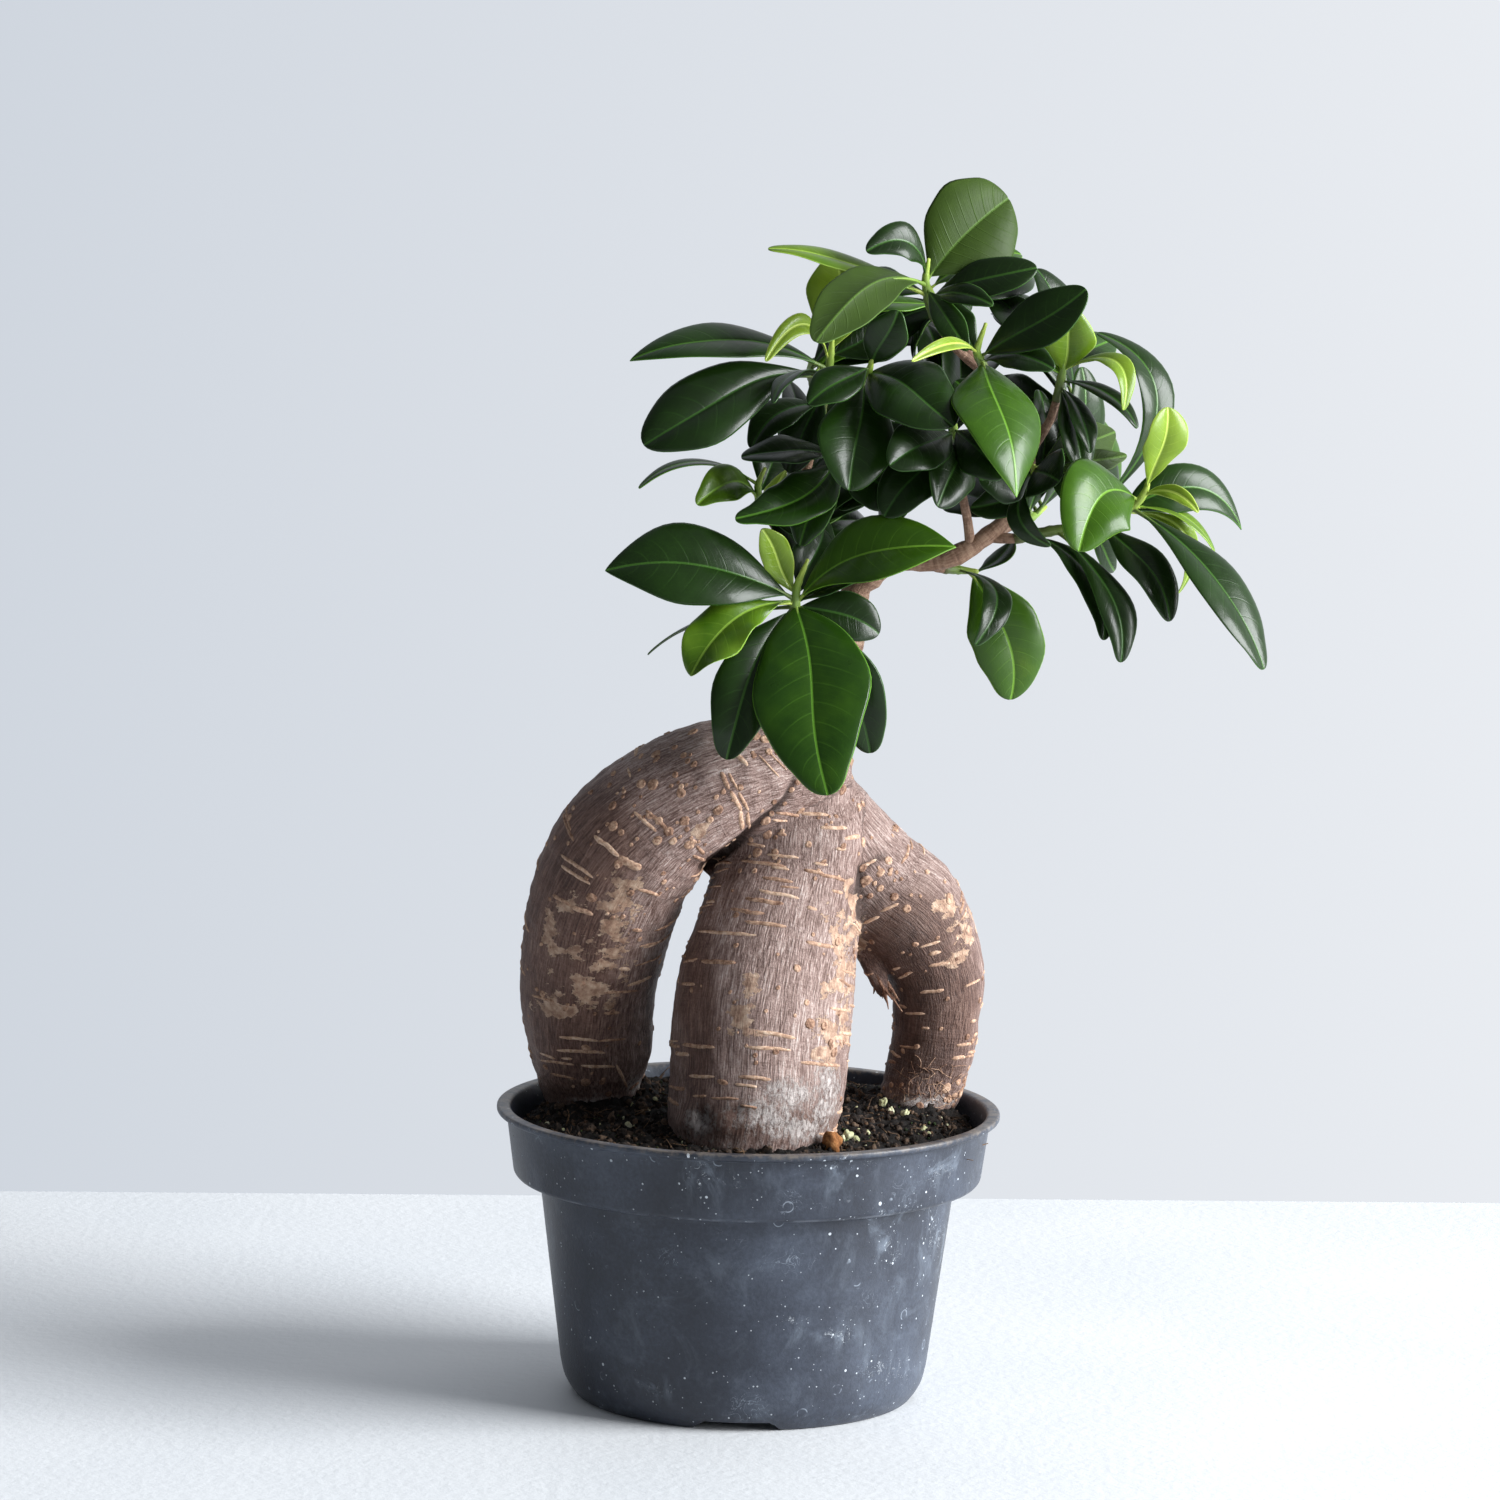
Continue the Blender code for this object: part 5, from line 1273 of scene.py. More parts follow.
def lifted(seen):
    """How far the lumps raise and the pits sink the skin at each pixel."""
    total = np.zeros(len(seen))
    for x, y, width, height, rise in SEEN_LUMPS:
        away = ((seen[:, 0] - x) / width) ** 2 + ((seen[:, 1] - y) / height) ** 2
        total += rise * np.exp(-away)
    return total


def creased(seen):
    """How deep each pixel lies in a crease between two legs."""
    deepest = np.zeros(len(seen))
    for line in SEEN_CREASES:
        for (x0, y0, depth), (x1, y1, next_depth) in zip(line, line[1:]):
            run = np.array([x1 - x0, y1 - y0])
            share = np.clip((seen - (x0, y0)) @ run / (run @ run), 0, 1)
            away = np.linalg.norm(seen - (x0, y0) - share[:, None] * run, axis=1)
            depths = depth + (next_depth - depth) * share
            deepest = np.maximum(deepest, depths * np.exp(-(away / CREASE_WIDTH) ** 2))
    return deepest


def shaped_skin(mesh, lines):
    """The skin with the lumps, flutes and wrinkles of the bark, and what its material reads."""
    count = len(mesh.vertices)
    normals = np.empty(count * 3, np.float32)
    mesh.vertices.foreach_get("normal", normals)
    normals = normals.reshape(-1, 3)
    points = np.empty(count * 3, np.float32)
    mesh.vertices.foreach_get("co", points)
    points = points.reshape(-1, 3) / MM
    grain, apart = lines.read(points)
    seen = pixels(points)
    front = np.clip(0.5 - 2 * normals[:, 1], 0, 1)
    high = points[:, 2] > 130
    crease = creased(seen) * front
    raised = lifted(seen) * front - crease
    moved = []
    for at, normal, run, lift in zip(points, normals, grain, raised):
        spot = Vector(at)
        side_x, side_y, way = run
        swell = SWELL * noise.noise(spot / SWELL_SIZE)
        flute = 0.45 * noise.noise(Vector((side_x * 0.13, side_y * 0.13, way * 0.02)))
        wrinkle = 0.22 * noise.noise(Vector((side_x * 0.03, side_y * 0.03, way * 0.42)))
        knob = 0.25 * noise.noise(spot * 0.22)
        foot = max(0.0, 1 - abs(spot.z - 92) / 9)
        wrinkle += foot * 0.5 * noise.noise(Vector((side_x * 0.1, side_y * 0.1, way * 0.5)))
        moved.append(spot + Vector(normal) * (swell + flute + wrinkle + knob + lift))
    cloudy = np.array([noise.noise(spot * 0.05) for spot in moved])
    low = np.clip((97 - points[:, 2]) / 12, 0, 1)
    values = {
        "peel": np.where(front > 0.2, in_ovals(seen, PEELED), np.clip(cloudy * 1.6, 0, 0.8)),
        "crust": np.maximum(in_ovals(seen, CRUSTED) * front, 0.5 * low),
        # painted shade: dark in the creases, where two legs lie close on the sides away from the
        # front, and in the ovals of painted shade
        "crease": np.maximum.reduce([
            np.clip(crease, 0, 1), np.exp(-apart / 0.05) * high * (front < 0.3),
            0.62 * in_ovals(seen, SHADE_PAINTED) * front,
        ]),
        # partly painted shade: on the front the ovals give the darker, redder bark; elsewhere it
        # varies at random
        "stain": np.where(front > 0.2, in_ovals(seen, STAINED_AND_SHADED), np.clip(0.5 + cloudy, 0, 1)),
    }
    faces = [tuple(face.vertices) for face in mesh.polygons]
    values = {name: value.tolist() for name, value in values.items()}
    return moved, faces, [tuple(run) for run in grain], values


class Skin:
    """The finished skin's surface, which marks are laid on."""

    def __init__(self, verts, faces, lines):
        self.tree = BVHTree.FromPolygons(verts, faces)
        self.lines = lines

    def sighted(self, x, y):
        """Where a pixel of the photograph meets the skin, with the way out of it."""
        hit, normal, _, _ = self.tree.ray_cast(EYE, sight(x, y))
        return None if hit is None else (hit, normal)

    def around(self, leg, way, angle):
        """Where a leg's skin is at this way along it and this angle from the front."""
        centres, _, firsts, seconds, radii, ways = self.lines.legs[leg]
        i = int(np.searchsorted(ways, way))
        i = min(max(i, 1), len(ways) - 1)
        share = (way - ways[i - 1]) / max(ways[i] - ways[i - 1], 1e-6)
        centre = Vector(centres[i - 1]).lerp(Vector(centres[i]), share)
        out = Vector(firsts[i]) * math.cos(angle) + Vector(seconds[i]) * math.sin(angle)
        hit, normal, _, reach = self.tree.ray_cast(centre, out)
        if hit is None or not 0.7 < reach / radii[i] < 1.35:
            return None
        return hit, normal


def add_strip(body, spots, width, height, rng):
    """A raised bar of cork along these places on the skin."""
    if any(spot is None for spot in spots) or len(spots) < 3:
        return
    count = len(spots)
    verts, faces = [], []
    drift = rng.uniform(0, 50)
    for i, (hit, normal) in enumerate(spots):
        before, after = spots[max(i - 1, 0)][0], spots[min(i + 1, count - 1)][0]
        along = (after - before).normalized()
        across = normal.cross(along).normalized()
        u = 2 * i / (count - 1) - 1
        swing = noise.noise(Vector((drift, i * 0.25, 0)))
        ripple = noise.noise(Vector((drift, i * 0.9, 7)))
        half = width / 2 * math.sqrt(max(1 - abs(u) ** 4, 0.1)) * (1 + 0.25 * ripple)
        top = height * (1 - abs(u) ** 6) * (1 + 0.5 * ripple)
        centre = hit + across * swing * width * 0.22
        for c in (-1, -0.6, 0, 0.6, 1):
            verts.append(centre + across * c * half + normal * (top * (1 - c * c) - 0.1))
        for c in (0.8, -0.8):
            verts.append(centre + across * c * half - normal * 0.7)
    for i in range(count - 1):
        for j in range(7):
            a, b = i * 7 + j, i * 7 + (j + 1) % 7
            faces.append((b, a, a + 7, b + 7))
    end = (count - 1) * 7
    faces.append(tuple(range(7)))
    faces.append(tuple(end + j for j in reversed(range(7))))
    body.add(verts, faces, tone=rng.uniform(-1, 1))


def add_wart(body, spot, size, rng):
    """A low round knob of cork with a dimple, or a flat scab."""
    if spot is None:
        return
    hit, normal = spot
    first = normal.orthogonal().normalized()
    second = normal.cross(first)
    sides = 10
    dimple = rng.uniform(0.2, 0.9)
    stretch = rng.uniform(0.7, 1.0)
    turn = rng.uniform(0, math.tau)
    rings = ((1.0, -0.6), (1.05, -0.05), (0.85, 0.3), (0.55, 0.42), (0.25, 0.42 - 0.2 * dimple))
    verts, faces = [], []
    for share, rise in rings:
        for j in range(sides):
            angle = turn + math.tau * j / sides
            lump = 1 + 0.25 * noise.noise(hit * 0.7 + Vector((math.cos(angle), math.sin(angle), 0)))
            r = size * share * lump
            out = first * math.cos(angle) * r + second * math.sin(angle) * r * stretch
            verts.append(hit + out + normal * rise * min(size, 0.9) * 0.9)
    for i in range(len(rings) - 1):
        for j in range(sides):
            a, b = i * sides + j, i * sides + (j + 1) % sides
            faces.append((a, b, b + sides, a + sides))
    end = (len(rings) - 1) * sides
    faces.append(tuple(reversed(range(sides))))
    faces.append(tuple(end + j for j in range(sides)))
    body.add(verts, faces, tone=rng.uniform(-1.6, 0.2))


def build_marks(skin):
    """The bars and knobs of cork that stand on the bark all round."""
    body = Body("tone")
    rng = random.Random(MARK_SEED)
    for x0, y0, x1, y1, width in SEEN_MARKS:
        count = max(4, round(math.hypot(x1 - x0, y1 - y0) / 3))
        spots = []
        for i in range(count + 1):
            share = i / count
            spots.append(skin.sighted(x0 + (x1 - x0) * share, y0 + (y1 - y0) * share))
        add_strip(body, spots, 1.2 * width, 0.5, rng)
    for leg, count, low, high, hidden in MARKED_LEGS:
        ways = skin.lines.legs[leg][5]
        for _ in range(count):
            way = ways[-1] * rng.uniform(low, high)
            angle = rng.uniform(-math.pi, math.pi)
            length = rng.uniform(4, 14)
            width = rng.uniform(0.7, 1.5)
            slant = rng.uniform(-0.1, 0.1)
            if abs(angle) < hidden:
                continue
            steps = max(4, round(length / 0.9))
            spots = []
            for i in range(steps + 1):
                run = (i / steps - 0.5) * length
                spots.append(skin.around(leg, way + slant * run, angle + run / 20))
            add_strip(body, spots, 1.15 * width, 0.45, rng)
    for low_x, high_x, low_y, high_y, count in SEEN_KNOBS:
        for _ in range(count):
            spot = skin.sighted(rng.uniform(low_x, high_x), rng.uniform(low_y, high_y))
            add_wart(body, spot, 0.6 + 1.3 * rng.random() ** 2, rng)
    for leg, count, low, high in KNOBBED_LEGS:
        ways = skin.lines.legs[leg][5]
        for _ in range(count):
            way, angle = ways[-1] * rng.uniform(low, high), rng.uniform(-math.pi, math.pi)
            spot = skin.around(leg, way, angle)
            add_wart(body, spot, rng.uniform(0.4, 1.2), rng)
    add_fibres(body, skin, rng)
    return body


def add_fibres(body, skin, rng):
    """The frayed end of the dead root, rootlets on the right leg's foot and two thorns."""
    root = [place(*row[:3]) for row in DEAD_ROOT]
    onward = (root[-1] - root[-3]).normalized()
    for _ in range(ROOT_FIBRES):
        loose = Vector([rng.gauss(0, 1) for _ in range(3)])
        start = root[-2] + loose * 0.8 - onward * rng.uniform(0, 3)
        bend = Vector([rng.gauss(0, 1) for _ in range(3)])
        length = rng.uniform(4, 9)
        rows = []
        for share, radius in ((0.0, 0.75), (0.4, 0.55), (0.75, 0.4), (1.0, 0.15)):
            centre = start + (onward * share + (loose * 0.12 + bend * 0.1 * share) * share) * length
            rows.append((*centre, radius * rng.uniform(0.7, 1.1)))
        verts, faces, _ = tube(smooth_rows(rows, 3), 6, 0.3)
        body.add(verts, faces, tone=rng.uniform(-2.6, -1.6))
    for _ in range(FOOT_FIBRES):
        x, y = rng.uniform(892, 972), rng.uniform(1066, 1106)
        heading = rng.uniform(0, math.tau)
        rows = []
        for _ in range(4):
            heading += rng.uniform(-0.6, 0.6)
            spot = skin.sighted(x, y)
            if spot is not None:
                rows.append((*(spot[0] + spot[1] * rng.uniform(0.0, 0.6)), 0.1))
            x, y = x + 5 * math.cos(heading), y + 5 * math.sin(heading)
        steps = [(Vector(a[:3]) - Vector(b[:3])).length for a, b in zip(rows, rows[1:])]
        if len(rows) == 4 and max(steps) < 4:
            verts, faces, _ = tube(smooth_rows(rows, 3), 5)
            body.add(verts, faces, tone=rng.uniform(-1.8, 0.4))
    for foot, point in THORNS:
        foot, point = place(*foot), place(*point)
        rows = [(*foot, 1.0), (*foot.lerp(point, 0.5), 0.6), (*point, 0.12)]
        verts, faces, _ = tube(smooth_rows(rows, 3), 8, 0.3)
        body.add(verts, faces, tone=-2.2)


def bark_material():
    net = Net("bark")
    grain = net.attribute("grain", "Vector")
    space = net.place()
    streak = net.noise(net.scaled(grain, 2.1, 2.1, 0.2), 1.0, 4.0, 0.62)
    coarse = net.noise(net.scaled(grain, 0.5, 0.5, 0.05), 1.0, 3.0, 0.6)
    ring = net.noise(net.scaled(grain, 0.08, 0.08, 0.9), 1.0, 3.0, 0.6)
    blotch = net.noise(space, 45, 4.0, 0.6)
    speck = net.noise(space, 1300, 3.0, 0.7)
    stain = net.attribute("stain")
    shade = net.times_plus(coarse, 0.24, net.times(streak, 0.7))
    shade = net.times_plus(blotch, 0.3, net.minus(shade, 0.13))
    shade = net.times_plus(net.minus(speck, 0.5), 0.25, shade)
    light = net.ramp(shade, (0.38, 94, 70, 62), (0.5, 140, 116, 108),
                     (0.6, 176, 156, 148), (0.74, 214, 202, 197))
    # a darker, redder copy of the bark's colours, partly its own colour and partly painted shade
    dark = net.ramp(shade, (0.38, 66, 42, 34), (0.5, 96, 67, 55),
                    (0.62, 118, 86, 72), (0.76, 158, 128, 112))
    stain_and_shade_share = net.times_plus(blotch, 0.5, net.minus(stain, 0.25))
    stain_and_shade_share = net.rise(stain_and_shade_share, 0.1, 0.8)
    colour = net.mix(net.times(stain_and_shade_share, 0.85), light, dark)
    # painted shade darkens the bark in the creases, between the legs and in the shade ovals
    crease = net.attribute("crease")
    colour = net.mix(net.times(crease, 0.9), colour, tint(40, 23, 16))
    flaky = net.rise(net.noise(net.scaled(space, 0.8, 0.8, 1.2), 170, 7.0, 0.66), 0.33, 0.67)
    peel = net.times_plus(net.attribute("peel"), 0.95, flaky)
    peeled = net.rise(peel, 1.2, 1.24)
    layer = net.noise(space, 420, 4.0, 0.6)
    bare = net.ramp(layer, (0.36, 136, 103, 84), (0.5, 170, 138, 115),
                    (0.66, 198, 171, 148))
    edge = net.rise(peel, 1.36, 1.2)
    bare = net.mix(net.times(edge, 0.35), bare, tint(206, 180, 154))
    colour = net.mix(net.times(peeled, 0.9), colour, bare)
    powder = net.rise(net.noise(net.scaled(space, 1.2, 1.2, 0.8), 520, 8.0, 0.78), 0.3, 0.7)
    crusted = net.rise(net.times_plus(net.attribute("crust"), 1.1, powder), 1.0, 1.8)
    colour = net.mix(net.times(crusted, 0.78), colour, tint(204, 196, 192))
    height = net.times_plus(coarse, 0.5, streak)
    height = net.times_plus(ring, 0.5, height)
    height = net.times_plus(speck, 0.45, height)
    height = net.times_plus(peeled, 0.5, height)
    height = net.times_plus(crusted, 0.5, height)
    roughness = net.times_plus(streak, 0.2, 0.48)
    return net.finish(colour, roughness, net.bump(height, 0.6), {"Specular IOR Level": 0.38})


def cork_material():
    net = Net("bark_cork")
    space = net.place()
    fine = net.noise(space, 800, 4.0, 0.7)
    shade = net.times_plus(net.attribute("tone"), 0.1, fine)
    colour = net.ramp(shade, (0.26, 100, 71, 57), (0.42, 154, 121, 100),
                      (0.56, 188, 155, 131), (0.76, 216, 192, 170))
    return net.finish(colour, 0.8, net.bump(fine, 0.4), {"Specular IOR Level": 0.25})


def twig_bark_material():
    net = Net("bark_twig")
    grain = net.attribute("grain", "Vector")
    space = net.place()
    streak = net.noise(net.scaled(grain, 1.6, 1.6, 0.35), 1.0, 4.0, 0.65)
    ring = net.noise(net.scaled(grain, 0.1, 0.1, 0.8), 1.0, 3.0, 0.6)
    blotch = net.noise(space, 120, 3.0)
    shade = net.times_plus(ring, 0.35, net.times(streak, 0.4))
    shade = net.times_plus(blotch, 0.3, shade)
    colour = net.ramp(shade, (0.36, 82, 58, 45), (0.5, 132, 101, 81),
                      (0.62, 166, 136, 113), (0.75, 194, 167, 143))
    height = net.times_plus(ring, 0.8, streak)
    return net.finish(colour, 0.62, net.bump(height, 0.4), {"Specular IOR Level": 0.35})


def build_trunk():
    lines = LegLines()
    verts, faces, grain, values = shaped_skin(grown_together(), lines)
    body = Body("grain", "peel", "crust", "crease", "stain")
    body.add(verts, faces, grain=grain, **values)
    caudex = body.build("caudex", [bark_material()], "trunk")
    skin = Skin(verts, faces, lines)
    marks = build_marks(skin).build("bark_marks", [cork_material()], "trunk")
    wood = Body("grain")
    stem = smooth_rows(placed_rows(STEM), 6)
    for row in stem:
        row[3] *= 1 + 0.08 * math.sin(row[2] * 0.9)
    branches = [smooth_rows(placed_rows(shoot.branch), 5) for shoot in SHOOTS]
    for rows, sides in ((stem, 20), *((branch, 12) for branch in branches)):
        tube_verts, tube_faces, tube_grain = tube(rows, sides, 0.16)
        wood.add(tube_verts, tube_faces, grain=tube_grain)
    branchwood = wood.build("branches", [twig_bark_material()], "trunk")


def rounded(profile, radius, steps):
    """The profile with each inner corner turned into a short arc."""
    points = [Vector((r, z)) for r, z in profile]
    made = [points[0]]
    for before, corner, after in zip(points, points[1:], points[2:]):
        back, ahead = before - corner, after - corner
        softness = radius if corner.y > FOOT_ROUNDED else 2.2 * radius
        reach = min(softness, 0.4 * back.length, 0.4 * ahead.length)
        first, last = corner + back.normalized() * reach, corner + ahead.normalized() * reach
        for i in range(steps + 1):
            t = i / steps
            made.append(first.lerp(corner, t).lerp(corner.lerp(last, t), t))
    return made + [points[-1]]


def turned_mesh(name, profile, steps):
    """A closed skin turned from a profile that starts and ends on the axis."""
    verts = [Vector((0, 0, profile[0][1])), Vector((0, 0, profile[-1][1]))]
    inner = profile[1:-1]
    for r, z in inner:
        for j in range(steps):
            angle = math.tau * j / steps
            verts.append(Vector((r * math.cos(angle), r * math.sin(angle), z)))
    faces = []
    rings = len(inner)
    for j in range(steps):
        k = (j + 1) % steps
        faces.append((0, 2 + j, 2 + k))
        end = 2 + (rings - 1) * steps
        faces.append((1, end + k, end + j))
        for i in range(rings - 1):
            a, b = 2 + i * steps, 2 + (i + 1) * steps
            faces.append((a + j, b + j, b + k, a + k))
    mesh = bpy.data.meshes.new(name)
    mesh.from_pydata([v * MM for v in verts], [], faces)
    return mesh


def cutter(name, mesh):
    item = bpy.data.objects.new(name, mesh)
    bpy.context.scene.collection.objects.link(item)
    return item


def notch_mesh():
    """A long bar with sloping sides, which notches the foot ring at both ends."""
    shape = bmesh.new()
    bmesh.ops.create_cube(shape, size=1.0)
    for vert in shape.verts:
        top = vert.co.z > 0
        width = NOTCH_TOP_WIDTH if top else NOTCH_BASE_WIDTH
        vert.co.x = (math.copysign(width / 2, vert.co.x) + NOTCH_SHIFT) * MM
        vert.co.y = math.copysign(LIP_RADIUS, vert.co.y) * MM
        vert.co.z = (NOTCH_HEIGHT if top else -1.0) * MM
    edges = [e for e in shape.edges if min(v.co.z for v in e.verts) > 0]
    bmesh.ops.bevel(shape, geom=edges, offset=0.6 * MM, segments=3, affect="EDGES")
    return mesh_from("foot_notch", shape)


def drain_mesh():
    shape = bmesh.new()
    for index in range(DRAIN_HOLES):
        angle = math.tau * (index + 0.5) / DRAIN_HOLES
        spot = Vector((math.cos(angle), math.sin(angle), 0)) * DRAIN_CIRCLE * MM
        spot.z = FLOOR_TOP * MM
        bmesh.ops.create_cone(
            shape, cap_ends=True, segments=32, radius1=DRAIN_HOLE_RADIUS * MM,
            radius2=DRAIN_HOLE_RADIUS * MM, depth=2 * FLOOR_TOP * MM,
            matrix=Matrix.Translation(spot),
        )
    return mesh_from("drain_holes", shape)


def build_pot():
    inside = rounded(((0.0, FLOOR_TOP),) + POT_INSIDE + (POT_OUTSIDE[0],), 1.0, 3)[:-1]
    outside = rounded((POT_INSIDE[-1],) + POT_OUTSIDE + (
        (FOOT_INNER_RADIUS, 0.0), (FOOT_INNER_RADIUS - 0.6, FLOOR_UNDERSIDE),
        (0.0, FLOOR_UNDERSIDE),
    ), 0.7, 4)[1:]
    profile = []
    for point in inside + outside:
        if profile and (point - profile[-1]).length > 9 and point.x > 40:
            count = math.ceil((point - profile[-1]).length / 6)
            start = profile[-1]
            profile += [start.lerp(point, i / count) for i in range(1, count)]
        profile.append(point)
    pot = bpy.data.objects.new("nursery_pot", turned_mesh("nursery_pot", profile, POT_FINE_STEPS))
    side = cutter("side_notches", notch_mesh())
    side.rotation_euler.z = math.pi / 2
    cutters = (cutter("front_and_back_notch", notch_mesh()), side,
               cutter("drain_holes", drain_mesh()))
    for item in cutters:
        cut = pot.modifiers.new("Cut", "BOOLEAN")
        cut.operation = "DIFFERENCE"
        cut.object = item
    mesh = applied(pot)
    for item in cutters:
        bpy.data.objects.remove(item)
    points = np.array([tuple(vert.co) for vert in mesh.vertices]) / MM
    facing = np.clip((10 - points[:, 1]) / 35, 0, 1)
    chalk = 0.15 + (in_ovals(pixels(points), CHALKED) - 0.15) * facing
    made = mesh.attributes.new("chalk", "FLOAT", "POINT")
    made.data.foreach_set("value", chalk.astype(np.float32))
    mesh.materials.clear()
    mesh.materials.append(plastic_material())
    mesh.shade_smooth()
    mesh.set_sharp_from_angle(angle=math.radians(40))
    item = settle(bpy.data.objects.new("nursery_pot", mesh), "pot")


def plastic_material():
    net = Net("pot_plastic_worn")
    space = net.place()
    _, _, height = net.parts(space)
    cloud = net.noise(space, 28, 5.0, 0.62)
    film = net.noise(space, 70, 6.0, 0.7, 0.6)
    mottle = net.noise(space, 800, 3.0, 0.7)
    torn = net.noise(space, 900, 4.0, 0.7)
    chalk = net.attribute("chalk")

    def specks(scale, rare, reach):
        """Round specks in a few cells, and in more of them where the plastic is chalky."""
        chance, size, _ = net.parts(net.cells(space, scale, "Color"))
        chosen = net.above(net.times_plus(chalk, 0.3, chance), rare)
        away = net.times_plus(torn, 0.2, net.cells(space, scale))
        inside = net.minus(net.times(size, reach), away)
        return net.times(chosen, net.rise(inside, -0.02, 0.03))

    shade = net.times_plus(net.minus(mottle, 0.5), 0.35, cloud)
    colour = net.ramp(shade, (0.3, 39, 43, 52), (0.5, 50, 55, 66),
                      (0.72, 70, 77, 90))
    smear = net.times(net.rise(film, 0.5, 0.72), net.plus(chalk, 0.4))
    colour = net.mix(net.times(smear, 0.5), colour, tint(120, 130, 143))
    rubbed = net.rise(net.noise(net.scaled(space, 1, 1, 0.2), 210, 5.0, 0.7), 0.5, 0.72)
    colour = net.mix(net.times(net.times(rubbed, chalk), 0.4), colour,
                     tint(128, 138, 150))
    fleck = net.most(specks(300, 1.06, 0.36), specks(520, 0.96, 0.36))
    fleck = net.most(fleck, net.times(specks(900, 0.87, 0.36), 0.7))
    ragged = net.times_plus(chalk, 0.17, net.noise(space, 330, 7.0, 0.75, 1.5))
    flake = net.times(net.rise(ragged, 0.7, 0.78), 0.5)
    fleck = net.most(fleck, flake)
    colour = net.mix(net.times(fleck, 0.85), colour, tint(204, 212, 220))
    ring_chance = net.parts(net.cells(space, 150, "Color"))[2]
    ring_place = net.times_plus(net.noise(space, 500, 2.0), 0.06, net.cells(space, 150))
    ring = net.rise(net.size(net.minus(ring_place, 0.27)), 0.035, 0.012)
    ring = net.times(ring, net.above(ring_chance, 0.86))
    ring = net.times(ring, net.rise(net.noise(space, 230, 2.0), 0.48, 0.6))
    colour = net.mix(net.times(ring, 0.6), colour, tint(150, 160, 172))
    curve = net.noise(space, 150, 3.0, 0.5, 2.0)
    line = net.rise(net.size(net.minus(curve, 0.5)), 0.012, 0.002)
    where = net.rise(net.times_plus(chalk, 0.12, net.noise(space, 60, 2.0)), 0.6, 0.72)
    scratch = net.times(line, where)
    colour = net.mix(net.times(scratch, 0.45), colour, tint(146, 156, 168))
    seam = net.rise(net.size(net.minus(height, 0.0676)), 0.001, 0.0003)
    seam = net.times(seam, net.rise(net.noise(space, 110, 4.0, 0.7), 0.4, 0.62))
    colour = net.mix(net.times(seam, 0.4), colour, tint(132, 138, 148))
    dust = net.times_plus(net.noise(space, 300, 4.0, 0.7), 0.006, height)
    lip = net.rise(dust, 0.0908, 0.0928)
    colour = net.mix(net.times(lip, 0.5), colour, tint(140, 128, 114))
    rough = net.times_plus(cloud, 0.22, 0.3)
    rough = net.times_plus(fleck, 0.3, rough)
    relief = net.times_plus(fleck, 1.5, mottle)
    relief = net.times_plus(film, 0.8, relief)
    return net.finish(colour, rough, net.bump(relief, 0.1), {"Specular IOR Level": 0.4})


def soil_rise(x, y):
    """How far the soil stands up or lies low here: it slopes to the front and has crumbs."""
    slope = min(max(SOIL_TILT * y, -SOIL_TILT_LIMIT), SOIL_TILT_LIMIT)
    return slope + SOIL_LUMP * noise.noise(Vector((x, y, 3.0)) / SOIL_LUMP_SIZE)


def soil_height(x, y):
    radius = math.hypot(x, y)
    outer = next(i for i, (r, _) in enumerate(SOIL_TOP) if r >= min(radius, SOIL_TOP[-1][0]) and i)
    (r0, z0), (r1, z1) = SOIL_TOP[outer - 1], SOIL_TOP[outer]
    share = min((radius - r0) / (r1 - r0), 1.0)
    rim = min(max((SOIL_TOP[-1][0] - radius) / 3, 0.0), 1.0)
    heaped = 0.0
    for across, depth, size in LEG_FEET:
        gap = math.hypot(x - across, y - depth) - size
        heaped = max(heaped, 1.8 * math.exp(-(max(gap, 0.0) / 3.5) ** 2))
    heaped *= min(max((y + 42) / 24, 0.0), 1.0)
    return z0 + (z1 - z0) * share + (soil_rise(x, y) + heaped) * rim


def crumb(centre, size, squash, rng, level):
    """A small angular lump."""
    shape = bmesh.new()
    bmesh.ops.create_icosphere(shape, subdivisions=level, radius=1.0)
    turn = Euler([rng.uniform(0, math.tau) for _ in range(3)]).to_matrix()
    drift = Vector([rng.uniform(0, 99) for _ in range(3)])
    verts = []
    for vert in shape.verts:
        lump = 1 + 0.55 * noise.noise(vert.co * 1.4 + drift)
        flat = Vector((vert.co.x, vert.co.y * squash[0], vert.co.z * squash[1]))
        verts.append(centre + turn @ flat * size * lump)
    faces = [tuple(v.index for v in face.verts) for face in shape.faces]
    shape.free()
    return verts, faces


